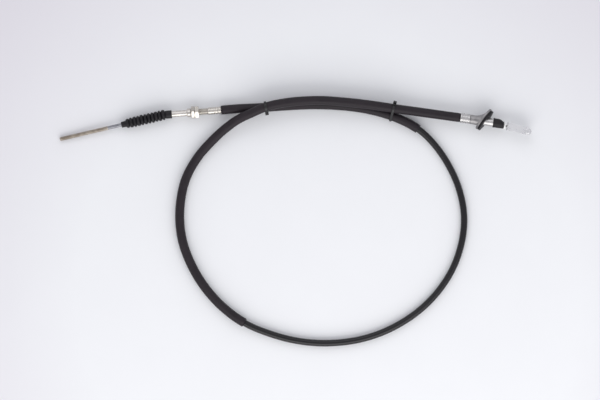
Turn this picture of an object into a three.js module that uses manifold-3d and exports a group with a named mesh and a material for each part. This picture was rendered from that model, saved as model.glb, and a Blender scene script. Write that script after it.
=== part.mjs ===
// A clutch cable for a van or light car, as it lies on a bench with its spare length tied in one loop.
// At the left is the threaded rod that pulls the release lever, with its bellows and adjuster.
// At the right is the flange that seats in the bulkhead, and the yoke that hooks on the pedal.
// Millimetres, +Z up. The bench top is Z = 0, and the origin is the middle of the two end fittings.

import * as THREE from "three";
import { mergeVertices } from "three/addons/utils/BufferGeometryUtils.js";
import Module from "manifold-3d";

const wasm = await Module();
wasm.setup();

// General
const SEAT_GAP = 0.3; // between two pieces that touch
const TURNED_SIDES = 20;
const SMALL_SIDES = 16; // for pieces about as thin as the rope
const STROKE = 28; // how far the pedal pulls the rope

// Conduit, from the rope outwards
const ROPE_DIAMETER = 3;
const LINER_BORE = 3.6;
const LINER_WALL = 0.4;
const ARMOUR_WALL = 0.7;
const JACKET_WALL = 1;
const JACKET_DIAMETER = 10;
const SLEEVE_DIAMETER = 13.6;
const RELEASE_SLEEVE_LENGTH = 302;
const PEDAL_SLEEVE_LENGTH = 680;
const CORD_SIDES = 8;
const CONDUIT_STEP = 30;
const ROPE_STEP = 13;

// Release end: the adjuster, from the sleeve outwards
const RELEASE_FERRULE_DIAMETER = 11;
const RELEASE_FERRULE_LENGTH = 19.3;
const RELEASE_FERRULE_GRIP = 12; // how deep the stripped conduit sits in it
const CRIMP_DEPTH = 0.5;
const CRIMP_WIDTH = 2.4;
const THREAD_DIAMETER = 10;
const THREAD_LENGTH = 25;
const ADJUSTER_BORE = 5;
const SPIGOT_WALL = 1.4;
const SPIGOT_LENGTH = 6.5;
const NUT_FLATS = 17; // across flats
const LOCK_NUT_THICKNESS = 5;
const ADJUSTING_NUT_THICKNESS = 6;
const NUT_PLACE = 13.5; // thread left bare between the ferrule and the nuts
const NUT_CHAMFER = 1;
const LOCK_NUT_TURN = 8; // degrees, from the adjusting nut
const COLLAR_DIAMETER = 13;
const COLLAR_LENGTH = 6;
const GUIDE_DIAMETER = 9.4;
const GUIDE_LENGTH = 34.8;
const GUIDE_BEAD_HEIGHT = 0.4;
const GUIDE_BEAD_WIDTH = 2;
const GUIDE_BEAD_PLACE = 5; // from the tube's mouth

// Release end: the bellows and the rod
const BELLOWS_LENGTH = 77.3;
const BELLOWS_COLLAR_LENGTH = 10;
const BELLOWS_COLLAR_DIAMETER = 12.2;
const BELLOWS_TIP_LENGTH = 7;
const BELLOWS_TIP_DIAMETER = 9;
const BELLOWS_FOLDS = 11;
const FOLD_DIAMETER = 15.7;
const LAST_FOLD_DIAMETER = 14;
const FOLD_ROOT_DIAMETER = 10.6;
const BELLOWS_WALL = 1;
const BELLOWS_SIDES = 16;
const TUBE_IN_BELLOWS = 12;
const BEND_LENGTH = 8; // of the bellows and rope, just past the guide tube
const ROD_SWING = 8.3; // degrees that the rod points aside of the adjuster
const ROD_DIAMETER = 6;
const ROD_THREAD_LENGTH = 73.4;
const ROD_CHAMFER = 0.8;
const SHANK_DIAMETER = 5.4;
const SHANK_LENGTH = 41.6;
const SHANK_BORE = 3.8;
const SHANK_END_WALL = 5;
const SHANK_IN_BELLOWS = 20;
const ROPE_IN_SHANK = 4;

// Pedal end, from the sleeve outwards
const PEDAL_FERRULE_DIAMETER = 15;
const PEDAL_FERRULE_LENGTH = 14.2;
const PEDAL_FERRULE_GRIP = 10.7;
const FLANGE_NECK_LENGTH = 3;
const FLANGE_BODY_DIAMETER = 14;
const FLANGE_BODY_LENGTH = 8;
const FLANGE_PLACE = 35; // from the sleeve to the plate's front face, on the axis
const FLANGE_LENGTH = 36.7;
const FLANGE_THICKNESS = 3;
const FLANGE_SWING = 29.4; // degrees from square, seen from above
const FLANGE_TILT = 11; // degrees that its face looks up
const FLANGE_SHIFT = 2.7; // of the plate along its length, off the axis
const FLARE_RADII = [7.6, 9, 11.4, 15];
const FLARE_STEP = 4;
const GASKET_THICKNESS = 3.2;
const GASKET_INSET = 1;
const PEDAL_TUBE_DIAMETER = 11.8;
const PEDAL_TUBE_BORE = 7;
const PEDAL_TUBE_WALL_AT_SEAT = 1.1;
const PEDAL_TUBE_SEAT = 10;
const PEDAL_TUBE_REACH = 23; // past the plate
const TUBE_IN_BOOT = 8.4;
const BOOT_LENGTH = 16.6;
const BOOT_BEAD_DIAMETER = 14.6;
const BOOT_BEAD_WIDTH = 2.4;
const BOOT_DIAMETER = 13.8;
const BOOT_TIP_DIAMETER = 10;
const BUSH_DIAMETER = 10.8;
const BUSH_THICKNESS = 2;
const BUSH_SPIGOT_DIAMETER = 6.4;
const BUSH_SPIGOT_LENGTH = 3;
const BUSH_BORE = 4;

// Pedal end: the rope's end and the yoke
const ROPE_SWING = -5.7; // degrees that the rope's end points aside of the flange's axis
const ROPE_IN_TUBE = 16;
const YOKE_GAP_TO_BUSH = 2;
const YOKE_LENGTH = 37.6;
const YOKE_WIDTH = 11.6;
const YOKE_SLOT = 7;
const YOKE_SHEET = 2;
const YOKE_BEND_RADIUS = 3;
const YOKE_BOSS_DIAMETER = 9.4;
const YOKE_BOSS_HEIGHT = 0.6;
const STOP_DIAMETER = 6;
const STOP_LENGTH = 8;
const STOP_END_WALL = 1.2;
const PIN_DIAMETER = 5;
const PIN_HEAD_DIAMETER = 7;
const PIN_HEAD_HEIGHT = 1.6;
const PIN_TAIL = 2.4;
const CLIP_DIAMETER = 8.6;
const CLIP_THICKNESS = 0.8;
const CLIP_GROOVE_DEPTH = 0.5;
const CLIP_MOUTH = 80; // degrees left open

// Cable ties
const TIE_BAND = 1;
const TIE_WIDTH = 3.6;
const TIE_SLACK = 0.8;
const TIE_HEAD = [5, 5.6, 4.4]; // along the cable, along the band, outwards
const TIE_TAIL = 2.4;
const RELEASE_TIE_X = -44;
const PEDAL_TIE_X = 145.5;
const RELEASE_TIE_HEAD_ANGLE = 195;
const PEDAL_TIE_HEAD_ANGLE = 35;

const radians = THREE.MathUtils.degToRad;

// Places of the two end fittings on the bench, and the way each points, seen from above
const NUT_CORNER = NUT_FLATS / 2 / Math.cos(Math.PI / 6);
const RELEASE_HEADING = 184.8;
const PEDAL_HEADING = -8.5;
const PEDAL_HEIGHT = 14;
const RELEASE_PLACE = [-111, 20.3, NUT_CORNER];
const PEDAL_PLACE = [247, 8.8, PEDAL_HEIGHT];

// The conduit's route from fitting to fitting, chosen by hand: along the bench, round the loop, and
// back over itself in a long low hump that ends on the first strand, where the ties hold it.
const ROUTE = [
  RELEASE_PLACE,
  [-83, 22.6, 9.5],
  [-50, 24.1, 9],
  [-17, 26.4, 8.1],
  [30, 28.4, 7],
  [79, 25.9, 7],
  [118, 19.4, 8.2],
  [151, 9.1, 8.9],
  [183, -7.3, 7.6],
  [204, -26, 6],
  [226, -55.5, 5.2],
  [244, -93.2, 5.1],
  [253, -136.7, 5.1],
  [249, -180.2, 5.1],
  [232, -225, 5.1],
  [198, -269.2, 5.1],
  [153, -302, 5.1],
  [104, -321.6, 5.1],
  [52, -328.8, 5.1],
  [4, -325.5, 5.2],
  [-41, -313.6, 5.8],
  [-78, -297.3, 6.8],
  [-116, -267.6, 6.9],
  [-147, -227.5, 6.9],
  [-168, -178.7, 6.9],
  [-173, -133.7, 6.9],
  [-165, -85.7, 6.9],
  [-147, -51.7, 7.3],
  [-126, -27.2, 9.2],
  [-106, -8.6, 12.8],
  [-86, 5.8, 17.2],
  [-66, 15.4, 21.3],
  [-42, 25.3, 23.4],
  [-5, 32.3, 22.1],
  [40, 34.4, 20.8],
  [82, 31.3, 20.8],
  [115, 27.4, 20.8],
  [144, 23.1, 18.8],
  [175, 18.8, 15.6],
  PEDAL_PLACE,
];

// Helpers: solids and meshes

function toSolid(geometry) {
  const bare = geometry.clone();
  bare.deleteAttribute("normal");
  bare.deleteAttribute("uv");
  const merged = mergeVertices(bare, 1e-4);
  return new wasm.Manifold(
    new wasm.Mesh({
      numProp: 3,
      vertProperties: merged.attributes.position.array,
      triVerts: new Uint32Array(merged.index.array),
    }),
  );
}

function toGeometry(solid) {
  const mesh = solid.getMesh();
  const geometry = new THREE.BufferGeometry();
  geometry.setAttribute("position", new THREE.BufferAttribute(mesh.vertProperties, 3));
  geometry.setIndex(new THREE.BufferAttribute(mesh.triVerts, 1));
  geometry.computeVertexNormals();
  return geometry;
}

function joined(...geometries) {
  return toGeometry(geometries.map(toSolid).reduce((sum, next) => sum.add(next)));
}

function cut(geometry, ...tools) {
  return toGeometry(tools.map(toSolid).reduce((rest, tool) => rest.subtract(tool), toSolid(geometry)));
}

function common(a, b) {
  return toGeometry(toSolid(a).intersect(toSolid(b)));
}

function material(color, roughness, metalness) {
  return new THREE.MeshStandardMaterial({ color, roughness, metalness });
}

const steel = material(0xb9b4ad, 0.35, 0.9);
const bright = material(0xd6d5d3, 0.25, 0.9);
const yellowZinc = material(0x9c9084, 0.4, 0.85);
const casting = material(0x8f8d8e, 0.5, 0.8);
const rope = material(0x8a8a8c, 0.45, 0.9);
const rubber = material(0x17161a, 0.7, 0);
const jacketBlack = material(0x101012, 0.3, 0);
const sleeveBlack = material(0x2a2629, 0.75, 0);
const nylonBlack = material(0x0d0d0f, 0.5, 0);
const nylonWhite = material(0xe9e8e6, 0.45, 0);
const linerWhite = material(0xdad7cf, 0.4, 0);

function node(name, geometry, finish) {
  const mesh = new THREE.Mesh(geometry, finish);
  mesh.name = name;
  return mesh;
}

// A piece turned about the X axis. The outline holds [x, radius] places and closes on itself or on
// the axis.
function turned(outline, sides = TURNED_SIDES) {
  const loop = outline.map(([x, radius]) => new THREE.Vector2(radius, x));
  if (THREE.ShapeUtils.area(loop) < 0) loop.reverse();
  const onAxis = loop[0].x === 0 && loop[loop.length - 1].x === 0;
  if (!onAxis) loop.push(loop[0].clone());
  return new THREE.LatheGeometry(loop, sides).rotateZ(-Math.PI / 2);
}

function rod(from, to, radius, sides = TURNED_SIDES) {
  return turned([[from, 0], [from, radius], [to, radius], [to, 0]], sides);
}

function regular(sides, radius) {
  return Array.from({ length: sides }, (_, i) => {
    const angle = (2 * Math.PI * i) / sides;
    return new THREE.Vector2(radius * Math.cos(angle), radius * Math.sin(angle));
  });
}

// A flat outline in the XY plane, made a plate from z = 0 upwards.
function plate(shape, thickness, curveSegments = 12) {
  return new THREE.ExtrudeGeometry(shape, { depth: thickness, bevelEnabled: false, curveSegments });
}

function box(size, centre) {
  return new THREE.BoxGeometry(...size).translate(...centre);
}

// The two end groups: +X points outwards from the cable, with 0 where the sleeve ends

function endGroup(place, heading) {
  const group = new THREE.Group();
  group.position.set(...place);
  group.rotation.z = radians(heading);
  group.updateMatrixWorld(true);
  return group;
}

const releaseEnd = endGroup(RELEASE_PLACE, RELEASE_HEADING);
const pedalEnd = endGroup(PEDAL_PLACE, PEDAL_HEADING);

// Release end: places along its axis
const ferruleEnd = SEAT_GAP + RELEASE_FERRULE_LENGTH;
const threadStart = ferruleEnd + SEAT_GAP;
const threadEnd = threadStart + THREAD_LENGTH;
const adjustingNutStart = threadStart + NUT_PLACE;
const lockNutStart = adjustingNutStart + ADJUSTING_NUT_THICKNESS + SEAT_GAP;
const collarStart = threadEnd + SEAT_GAP;
const guideStart = collarStart + COLLAR_LENGTH;
const guideEnd = guideStart + GUIDE_LENGTH;
const bellowsStart = guideEnd - TUBE_IN_BELLOWS;
const bendStart = guideEnd - BEND_LENGTH / 2;
const kink = guideEnd;

// Release end: places along the rod, counted from the kink where its axis meets the adjuster's
const bellowsEnd = BELLOWS_LENGTH - (kink - bellowsStart);
const shankStart = bellowsEnd - SHANK_IN_BELLOWS;
const shankEnd = shankStart + SHANK_LENGTH;
const rodTip = shankEnd + ROD_THREAD_LENGTH;

// The rod droops until the rim of its tip lies on the bench.
const rodReach = new THREE.Vector2(rodTip - ROD_CHAMFER, ROD_DIAMETER / 2);
const rodDroop = Math.asin(NUT_CORNER / rodReach.length()) - rodReach.angle();
const rodTurn = new THREE.Quaternion()
  .setFromAxisAngle(new THREE.Vector3(0, 0, 1), radians(ROD_SWING))
  .multiply(new THREE.Quaternion().setFromAxisAngle(new THREE.Vector3(0, 1, 0), rodDroop));

const rodGroup = new THREE.Group();
rodGroup.position.x = kink;
rodGroup.quaternion.copy(rodTurn);
releaseEnd.add(rodGroup);

// Pedal end: places along its axis
const pedalFerruleEnd = SEAT_GAP + PEDAL_FERRULE_LENGTH;
const neckStart = PEDAL_FERRULE_GRIP + 2 * SEAT_GAP;
const bodyStart = pedalFerruleEnd + SEAT_GAP;
const flareStart = bodyStart + FLANGE_BODY_LENGTH;
const tubeSeatStart = FLANGE_PLACE - PEDAL_TUBE_SEAT;
const tubeMouth = FLANGE_PLACE + PEDAL_TUBE_REACH;
const bootStart = tubeMouth - TUBE_IN_BOOT;
const bootEnd = bootStart + BOOT_LENGTH;

// The rope's end slides on its own line, which crosses the tube's axis at the boot's rim.
const ropeGroup = new THREE.Group();
ropeGroup.position.x = bootStart;
ropeGroup.rotation.z = radians(ROPE_SWING);
pedalEnd.add(ropeGroup);
const bushStart = BOOT_LENGTH / Math.cos(radians(ROPE_SWING)) + 2 * SEAT_GAP;
const yokeStart = bushStart + BUSH_THICKNESS + YOKE_GAP_TO_BUSH;
const pinPlace = yokeStart + YOKE_LENGTH - YOKE_WIDTH / 2;
const fixedRopeEnd = bootStart - ROPE_IN_TUBE - 2;

// The rope's line through the whole cable, in the part's own frame

function inPart(group, place) {
  group.updateWorldMatrix(true, false);
  return group.localToWorld(new THREE.Vector3(...place));
}

const ropeInShank = shankStart + ROPE_IN_SHANK;
const linePoints = [
  inPart(rodGroup, [ropeInShank, 0, 0]),
  inPart(rodGroup, [ropeInShank / 2, 0, 0]),
  inPart(rodGroup, [BEND_LENGTH * 1.5, 0, 0]),
  inPart(rodGroup, [BEND_LENGTH / 2, 0, 0]),
  inPart(releaseEnd, [bendStart, 0, 0]),
  inPart(releaseEnd, [bendStart - BEND_LENGTH, 0, 0]),
  inPart(releaseEnd, [bendStart / 2, 0, 0]),
  inPart(releaseEnd, [RELEASE_FERRULE_GRIP, 0, 0]),
  ...ROUTE.map((place) => new THREE.Vector3(...place)),
  inPart(pedalEnd, [PEDAL_FERRULE_GRIP, 0, 0]),
  inPart(pedalEnd, [fixedRopeEnd, 0, 0]),
];
const line = new THREE.CatmullRomCurve3(linePoints, false, "centripetal");
const DIVISIONS = 40; // of each span, for measuring
line.arcLengthDivisions = DIVISIONS * (linePoints.length - 1);
const lengths = line.getLengths();
const lengthTo = (index) => lengths[index * DIVISIONS];
const lineLength = lengths[lengths.length - 1];

// Places along that line, in millimetres from its first point
const ROUTE_FIRST = 8; // how many points stand before the route's own
const bendPassed = lengthTo(ROUTE_FIRST - 3);
const sleeveFace = lengthTo(ROUTE_FIRST);
const armourStart = sleeveFace - RELEASE_FERRULE_GRIP;
const pedalFace = lengthTo(ROUTE_FIRST + ROUTE.length - 1);
const conduitEnd = pedalFace + PEDAL_FERRULE_GRIP;
const releaseSleeveEnd = sleeveFace + RELEASE_SLEEVE_LENGTH;
const pedalSleeveStart = pedalFace - PEDAL_SLEEVE_LENGTH;

function evenly(from, to, step) {
  const count = Math.max(1, Math.round((to - from) / step));
  return Array.from({ length: count }, (_, i) => from + ((to - from) * i) / count);
}

const stations = [
  ...evenly(0, bendPassed, ROPE_STEP),
  ...evenly(bendPassed, armourStart, CONDUIT_STEP),
  ...evenly(armourStart, sleeveFace, CONDUIT_STEP),
  ...evenly(sleeveFace, releaseSleeveEnd, CONDUIT_STEP),
  ...evenly(releaseSleeveEnd, pedalSleeveStart, CONDUIT_STEP),
  ...evenly(pedalSleeveStart, pedalFace, CONDUIT_STEP),
  ...evenly(pedalFace, conduitEnd, CONDUIT_STEP),
  ...evenly(conduitEnd, lineLength, CONDUIT_STEP),
  lineLength,
];

// The stretch of the line between two places, sampled at the shared stations, so that tubes one
// inside the other turn at the same places.
class Stretch extends THREE.Curve {
  constructor(from, to) {
    super();
    const slack = 0.01;
    this.places = stations.filter((s) => s > from - slack && s < to + slack);
    this.steps = this.places.length - 1;
  }
  share(u) {
    const at = u * this.steps;
    const low = Math.min(Math.floor(at + 1e-6), this.steps - 1);
    const place = THREE.MathUtils.lerp(this.places[low], this.places[low + 1], at - low);
    return THREE.MathUtils.clamp(place / lineLength, 0, 1);
  }
  getPoint(t, target = new THREE.Vector3()) {
    return line.getPointAt(this.share(t), target);
  }
  getPointAt(u, target = new THREE.Vector3()) {
    return this.getPoint(u, target);
  }
  getTangentAt(u, target = new THREE.Vector3()) {
    return line.getTangentAt(this.share(u), target);
  }
}

function tube(from, to, radius, bore) {
  const section = new THREE.Shape(regular(CORD_SIDES, radius));
  if (bore > 0) section.holes.push(new THREE.Path(regular(CORD_SIDES, bore)));
  const extrudePath = new Stretch(from, to);
  return new THREE.ExtrudeGeometry(section, { steps: extrudePath.steps, extrudePath });
}

// What fits inside a faceted bore, whichever way its facets face
const fitsIn = (radius, sides) => radius * Math.cos(Math.PI / sides) - SEAT_GAP;
const fitsOver = (radius, sides) => (radius + SEAT_GAP) / Math.cos(Math.PI / sides);

const jacketRadius = JACKET_DIAMETER / 2;
const jacketBore = jacketRadius - JACKET_WALL;
const armourRadius = fitsIn(jacketBore, CORD_SIDES);
const armourBore = armourRadius - ARMOUR_WALL;
const linerRadius = LINER_BORE / 2 + LINER_WALL;
const ropeRadius = ROPE_DIAMETER / 2;
const sleeveRadius = SLEEVE_DIAMETER / 2;
const sleeveBore = fitsOver(jacketRadius, CORD_SIDES);

function conduit() {
  return [
    node("inner_rope", tube(0, lineLength, ropeRadius, 0), rope),
    node("liner", tube(armourStart, conduitEnd, linerRadius, LINER_BORE / 2), linerWhite),
    node("armour_coil", tube(armourStart, conduitEnd, armourRadius, armourBore), steel),
    node("conduit_jacket", tube(sleeveFace, conduitEnd, jacketRadius, jacketBore), jacketBlack),
    node("release_sleeve", tube(sleeveFace, releaseSleeveEnd, sleeveRadius, sleeveBore), sleeveBlack),
    node("pedal_sleeve", tube(pedalSleeveStart, pedalFace, sleeveRadius, sleeveBore), sleeveBlack),
  ];
}

// Release end pieces

// The outside of a ferrule, with rings pressed into it to grip the conduit
function crimpedOutline(from, to, radius, crimps) {
  const outline = [[from, radius]];
  for (const centre of crimps) {
    const [a, b] = [centre - CRIMP_WIDTH / 2, centre + CRIMP_WIDTH / 2];
    outline.push([a, radius], [a + CRIMP_DEPTH, radius - CRIMP_DEPTH]);
    outline.push([b - CRIMP_DEPTH, radius - CRIMP_DEPTH], [b, radius]);
  }
  outline.push([to, radius]);
  return outline;
}

function releaseFerrule() {
  const bore = armourRadius + SEAT_GAP * 2;
  const crimps = [4, 9].map((place) => SEAT_GAP + place);
  const outside = crimpedOutline(SEAT_GAP, ferruleEnd, RELEASE_FERRULE_DIAMETER / 2, crimps);
  return turned([...outside, [ferruleEnd, bore], [SEAT_GAP, bore]]);
}

function adjusterTube() {
  const spigot = ADJUSTER_BORE / 2 + SPIGOT_WALL;
  const radius = THREAD_DIAMETER / 2;
  const bore = ADJUSTER_BORE / 2;
  return turned([
    [threadStart - SPIGOT_LENGTH, spigot],
    [threadStart, spigot],
    [threadStart, radius - ROD_CHAMFER],
    [threadStart + ROD_CHAMFER, radius],
    [threadEnd - ROD_CHAMFER, radius],
    [threadEnd, radius - ROD_CHAMFER],
    [threadEnd, spigot],
    [threadEnd + COLLAR_LENGTH - SEAT_GAP, spigot],
    [threadEnd + COLLAR_LENGTH - SEAT_GAP, bore],
    [threadStart - SPIGOT_LENGTH, bore],
  ]);
}

function nut(start, thickness, turn) {
  const hexagon = plate(new THREE.Shape(regular(6, NUT_CORNER)), thickness).rotateY(Math.PI / 2);
  const rim = NUT_FLATS / 2;
  const cone = turned([
    [0, 0],
    [0, rim],
    [NUT_CHAMFER, NUT_CORNER + SEAT_GAP],
    [thickness - NUT_CHAMFER, NUT_CORNER + SEAT_GAP],
    [thickness, rim],
    [thickness, 0],
  ]);
  const bore = rod(-1, thickness + 1, THREAD_DIAMETER / 2 + SEAT_GAP);
  return cut(common(hexagon, cone), bore).rotateX(radians(turn)).translate(start, 0, 0);
}

function guideTube() {
  const radius = GUIDE_DIAMETER / 2;
  const bead = guideEnd - GUIDE_BEAD_PLACE;
  const seat = ADJUSTER_BORE / 2 + SPIGOT_WALL + SEAT_GAP;
  const seatEnd = collarStart + COLLAR_LENGTH;
  const collar = COLLAR_DIAMETER / 2;
  return turned([
    [collarStart, seat],
    [collarStart, collar - ROD_CHAMFER],
    [collarStart + ROD_CHAMFER, collar],
    [guideStart - ROD_CHAMFER, collar],
    [guideStart, collar - ROD_CHAMFER],
    [guideStart, radius],
    [bead - GUIDE_BEAD_WIDTH / 2, radius],
    [bead, radius + GUIDE_BEAD_HEIGHT],
    [bead + GUIDE_BEAD_WIDTH / 2, radius],
    [guideEnd, radius],
    [guideEnd, ADJUSTER_BORE / 2],
    [seatEnd, ADJUSTER_BORE / 2],
    [seatEnd, seat],
  ]);
}

// The bellows' outline, straight: a collar, the folds and a tip. Its wall has one thickness all along.
function bellowsOutline() {
  const foldsEnd = BELLOWS_LENGTH - BELLOWS_TIP_LENGTH;
  const pitch = (foldsEnd - BELLOWS_COLLAR_LENGTH) / BELLOWS_FOLDS;
  const root = FOLD_ROOT_DIAMETER / 2;
  const tipRadius = BELLOWS_TIP_DIAMETER / 2;
  const collarRadius = BELLOWS_COLLAR_DIAMETER / 2;
  const collarBore = GUIDE_DIAMETER / 2 + GUIDE_BEAD_HEIGHT + SEAT_GAP;
  const tipBore = SHANK_DIAMETER / 2 + SEAT_GAP;
  const outside = [[0, collarRadius], [BELLOWS_COLLAR_LENGTH - pitch / 4, collarRadius]];
  const inside = [[0, collarBore], [BELLOWS_COLLAR_LENGTH, collarBore]];
  for (let fold = 0; fold < BELLOWS_FOLDS; fold += 1) {
    const start = BELLOWS_COLLAR_LENGTH + fold * pitch;
    const late = Math.max(0, fold - BELLOWS_FOLDS + 3) / 2;
    const crest = THREE.MathUtils.lerp(FOLD_DIAMETER, LAST_FOLD_DIAMETER, late) / 2;
    outside.push([start, root], [start + pitch * 0.4, crest], [start + pitch * 0.6, crest]);
    inside.push([start + pitch / 2, crest - BELLOWS_WALL]);
    if (fold < BELLOWS_FOLDS - 1) inside.push([start + pitch, root - BELLOWS_WALL / 2]);
  }
  outside.push([foldsEnd, tipRadius], [BELLOWS_LENGTH, tipRadius]);
  inside.push([foldsEnd, tipBore], [BELLOWS_LENGTH, tipBore]);
  return [...outside, ...inside.reverse()];
}

// Bends a piece that lies along X: straight before the bend, then an arc, then straight along the
// rod's axis.
function bentToRod(geometry) {
  const places = geometry.getAttribute("position");
  const end = new THREE.Vector3(1, 0, 0).applyQuaternion(rodTurn);
  const still = new THREE.Quaternion();
  const point = new THREE.Vector3();
  for (let i = 0; i < places.count; i += 1) {
    point.fromBufferAttribute(places, i);
    const share = THREE.MathUtils.clamp((point.x - bendStart) / BEND_LENGTH, 0, 1);
    const turn = still.clone().slerp(rodTurn, share);
    const straight = Math.min(point.x, bendStart);
    const bent = share * BEND_LENGTH;
    const past = Math.max(0, point.x - bendStart - BEND_LENGTH);
    const heading = new THREE.Vector3(1, 0, 0).lerp(end, share / 2).normalize();
    const aside = new THREE.Vector3(0, point.y, point.z).applyQuaternion(turn);
    point.set(straight, 0, 0).addScaledVector(heading, bent).addScaledVector(end, past).add(aside);
    places.setXYZ(i, point.x, point.y, point.z);
  }
  geometry.computeVertexNormals();
  return geometry;
}

function bellows() {
  return bentToRod(turned(bellowsOutline(), BELLOWS_SIDES).translate(bellowsStart, 0, 0));
}

function releaseRod() {
  const shank = SHANK_DIAMETER / 2;
  const radius = ROD_DIAMETER / 2;
  const boreEnd = shankEnd - SHANK_END_WALL;
  return turned([
    [shankStart, SHANK_BORE / 2],
    [shankStart, shank],
    [shankEnd, shank],
    [shankEnd + radius - shank, radius],
    [rodTip - ROD_CHAMFER, radius],
    [rodTip, radius - ROD_CHAMFER],
    [rodTip, 0],
    [boreEnd, 0],
    [boreEnd, SHANK_BORE / 2],
  ], SMALL_SIDES);
}

// Pedal end pieces

function pedalFerrule() {
  const bore = fitsOver(jacketRadius, TURNED_SIDES);
  const crimps = [3.2, 7, 10.8].map((place) => SEAT_GAP + place);
  const outside = crimpedOutline(SEAT_GAP, pedalFerruleEnd, PEDAL_FERRULE_DIAMETER / 2, crimps);
  return turned([...outside, [pedalFerruleEnd, bore], [SEAT_GAP, bore]]);
}

// The plate stands across the axis, turned aside and looking up a little. Its lower rim meets the
// bench, which sets its width.
const plateTurn = new THREE.Matrix4()
  .makeTranslation(FLANGE_PLACE, 0, 0)
  .multiply(new THREE.Matrix4().makeRotationZ(-radians(FLANGE_SWING)))
  .multiply(new THREE.Matrix4().makeRotationY(-radians(FLANGE_TILT)));
const tiltSine = Math.sin(radians(FLANGE_TILT));
const tiltCosine = Math.cos(radians(FLANGE_TILT));
const flangeHalfWidth = (PEDAL_HEIGHT - FLANGE_THICKNESS * tiltSine) / tiltCosine;

// An oval slab along the plate's normal, between two depths in front of its face
function ovalSlab(from, to, inset) {
  const oval = new THREE.Shape();
  oval.absellipse(FLANGE_SHIFT, 0, FLANGE_LENGTH / 2 - inset, flangeHalfWidth - inset, 0, 2 * Math.PI);
  return plate(oval, to - from, 16)
    .rotateX(Math.PI / 2)
    .rotateZ(Math.PI / 2)
    .translate(from, 0, 0)
    .applyMatrix4(plateTurn);
}

function bulkheadFlange() {
  const body = FLANGE_BODY_DIAMETER / 2;
  const neck = jacketRadius;
  const stem = turned([
    [neckStart, 0],
    [neckStart, neck],
    [bodyStart, neck],
    [bodyStart, body],
    [flareStart + FLANGE_NECK_LENGTH, body],
    [flareStart + FLANGE_NECK_LENGTH, 0],
  ]);
  const flareRim = FLARE_RADII.map((radius, i) => [flareStart + (i + 1) * FLARE_STEP, radius]);
  const flareEnd = FLANGE_PLACE + FLANGE_LENGTH / 2;
  const widest = FLARE_RADII[FLARE_RADII.length - 1];
  const flare = turned([[flareStart, 0], [flareStart, body], ...flareRim, [flareEnd, widest], [flareEnd, 0]]);
  const behindPlate = ovalSlab(-FLANGE_LENGTH, -FLANGE_THICKNESS / 2, 0);
  const slab = ovalSlab(-FLANGE_THICKNESS, 0, 0);
  const solid = joined(stem, common(flare, behindPlate), slab);
  const seat = PEDAL_TUBE_BORE / 2 + PEDAL_TUBE_WALL_AT_SEAT + SEAT_GAP;
  return cut(solid, rod(0, flareEnd, PEDAL_TUBE_BORE / 2), rod(tubeSeatStart - SEAT_GAP, flareEnd, seat));
}

function bulkheadGasket() {
  const ring = ovalSlab(SEAT_GAP, SEAT_GAP + GASKET_THICKNESS, GASKET_INSET);
  const reach = FLANGE_PLACE + FLANGE_LENGTH;
  return cut(ring, rod(0, reach, PEDAL_TUBE_DIAMETER / 2 + SEAT_GAP));
}

function pedalTube() {
  const bore = PEDAL_TUBE_BORE / 2;
  const radius = PEDAL_TUBE_DIAMETER / 2;
  const spigot = rod(tubeSeatStart, tubeMouth - ROD_CHAMFER, bore + PEDAL_TUBE_WALL_AT_SEAT);
  const wide = turned([
    [tubeSeatStart, 0],
    [tubeSeatStart, radius],
    [tubeMouth - ROD_CHAMFER, radius],
    [tubeMouth, radius - ROD_CHAMFER],
    [tubeMouth, 0],
  ]);
  // The full width begins at the plate's oblique face.
  const room = 2 * FLANGE_LENGTH;
  const ahead = box([room, room, room], [room / 2 + SEAT_GAP, 0, 0]).applyMatrix4(plateTurn);
  return cut(joined(common(wide, ahead), spigot), rod(0, tubeMouth + 1, bore));
}

// The boot is straight on the tube and then leans over to the rope's line.
function leant(geometry) {
  const places = geometry.getAttribute("position");
  const slope = Math.tan(radians(ROPE_SWING));
  for (let i = 0; i < places.count; i += 1) {
    const x = places.getX(i);
    const share = THREE.MathUtils.smoothstep(x, tubeMouth, bootEnd);
    places.setY(i, places.getY(i) + slope * (x - bootStart) * share);
  }
  geometry.computeVertexNormals();
  return geometry;
}

function coneBoot() {
  const bore = PEDAL_TUBE_DIAMETER / 2 + SEAT_GAP;
  const tipBore = BUSH_SPIGOT_DIAMETER / 2 + SEAT_GAP;
  const bead = BOOT_BEAD_DIAMETER / 2;
  const shoulder = bootStart + BOOT_BEAD_WIDTH;
  const tip = BOOT_TIP_DIAMETER / 2;
  return leant(
    turned([
      [bootStart, bore],
      [bootStart, bead - BOOT_BEAD_WIDTH / 4],
      [bootStart + BOOT_BEAD_WIDTH / 4, bead],
      [shoulder - BOOT_BEAD_WIDTH / 4, bead],
      [shoulder, BOOT_DIAMETER / 2],
      [tubeMouth, BOOT_DIAMETER / 2],
      [(tubeMouth + bootEnd) / 2, (BOOT_DIAMETER + BOOT_TIP_DIAMETER) / 4],
      [bootEnd, tip],
      [bootEnd, tipBore],
      [(tubeMouth + bootEnd) / 2, tipBore],
      [tubeMouth + SEAT_GAP, bore],
    ]),
  );
}

function bootBush() {
  const spigot = BUSH_SPIGOT_DIAMETER / 2;
  const rim = BUSH_DIAMETER / 2;
  return turned([
    [bushStart - BUSH_SPIGOT_LENGTH, BUSH_BORE / 2],
    [bushStart - BUSH_SPIGOT_LENGTH, spigot - SEAT_GAP],
    [bushStart, spigot - SEAT_GAP],
    [bushStart, rim],
    [bushStart + BUSH_THICKNESS, rim],
    [bushStart + BUSH_THICKNESS, BUSH_BORE / 2],
  ]);
}

// The rope's end and the yoke, along the rope's own line

const webInside = yokeStart + YOKE_SHEET;
const stopStart = webInside + SEAT_GAP;
const stopEnd = stopStart + STOP_LENGTH;
const cheekOutside = YOKE_SLOT / 2 + YOKE_SHEET;

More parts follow.
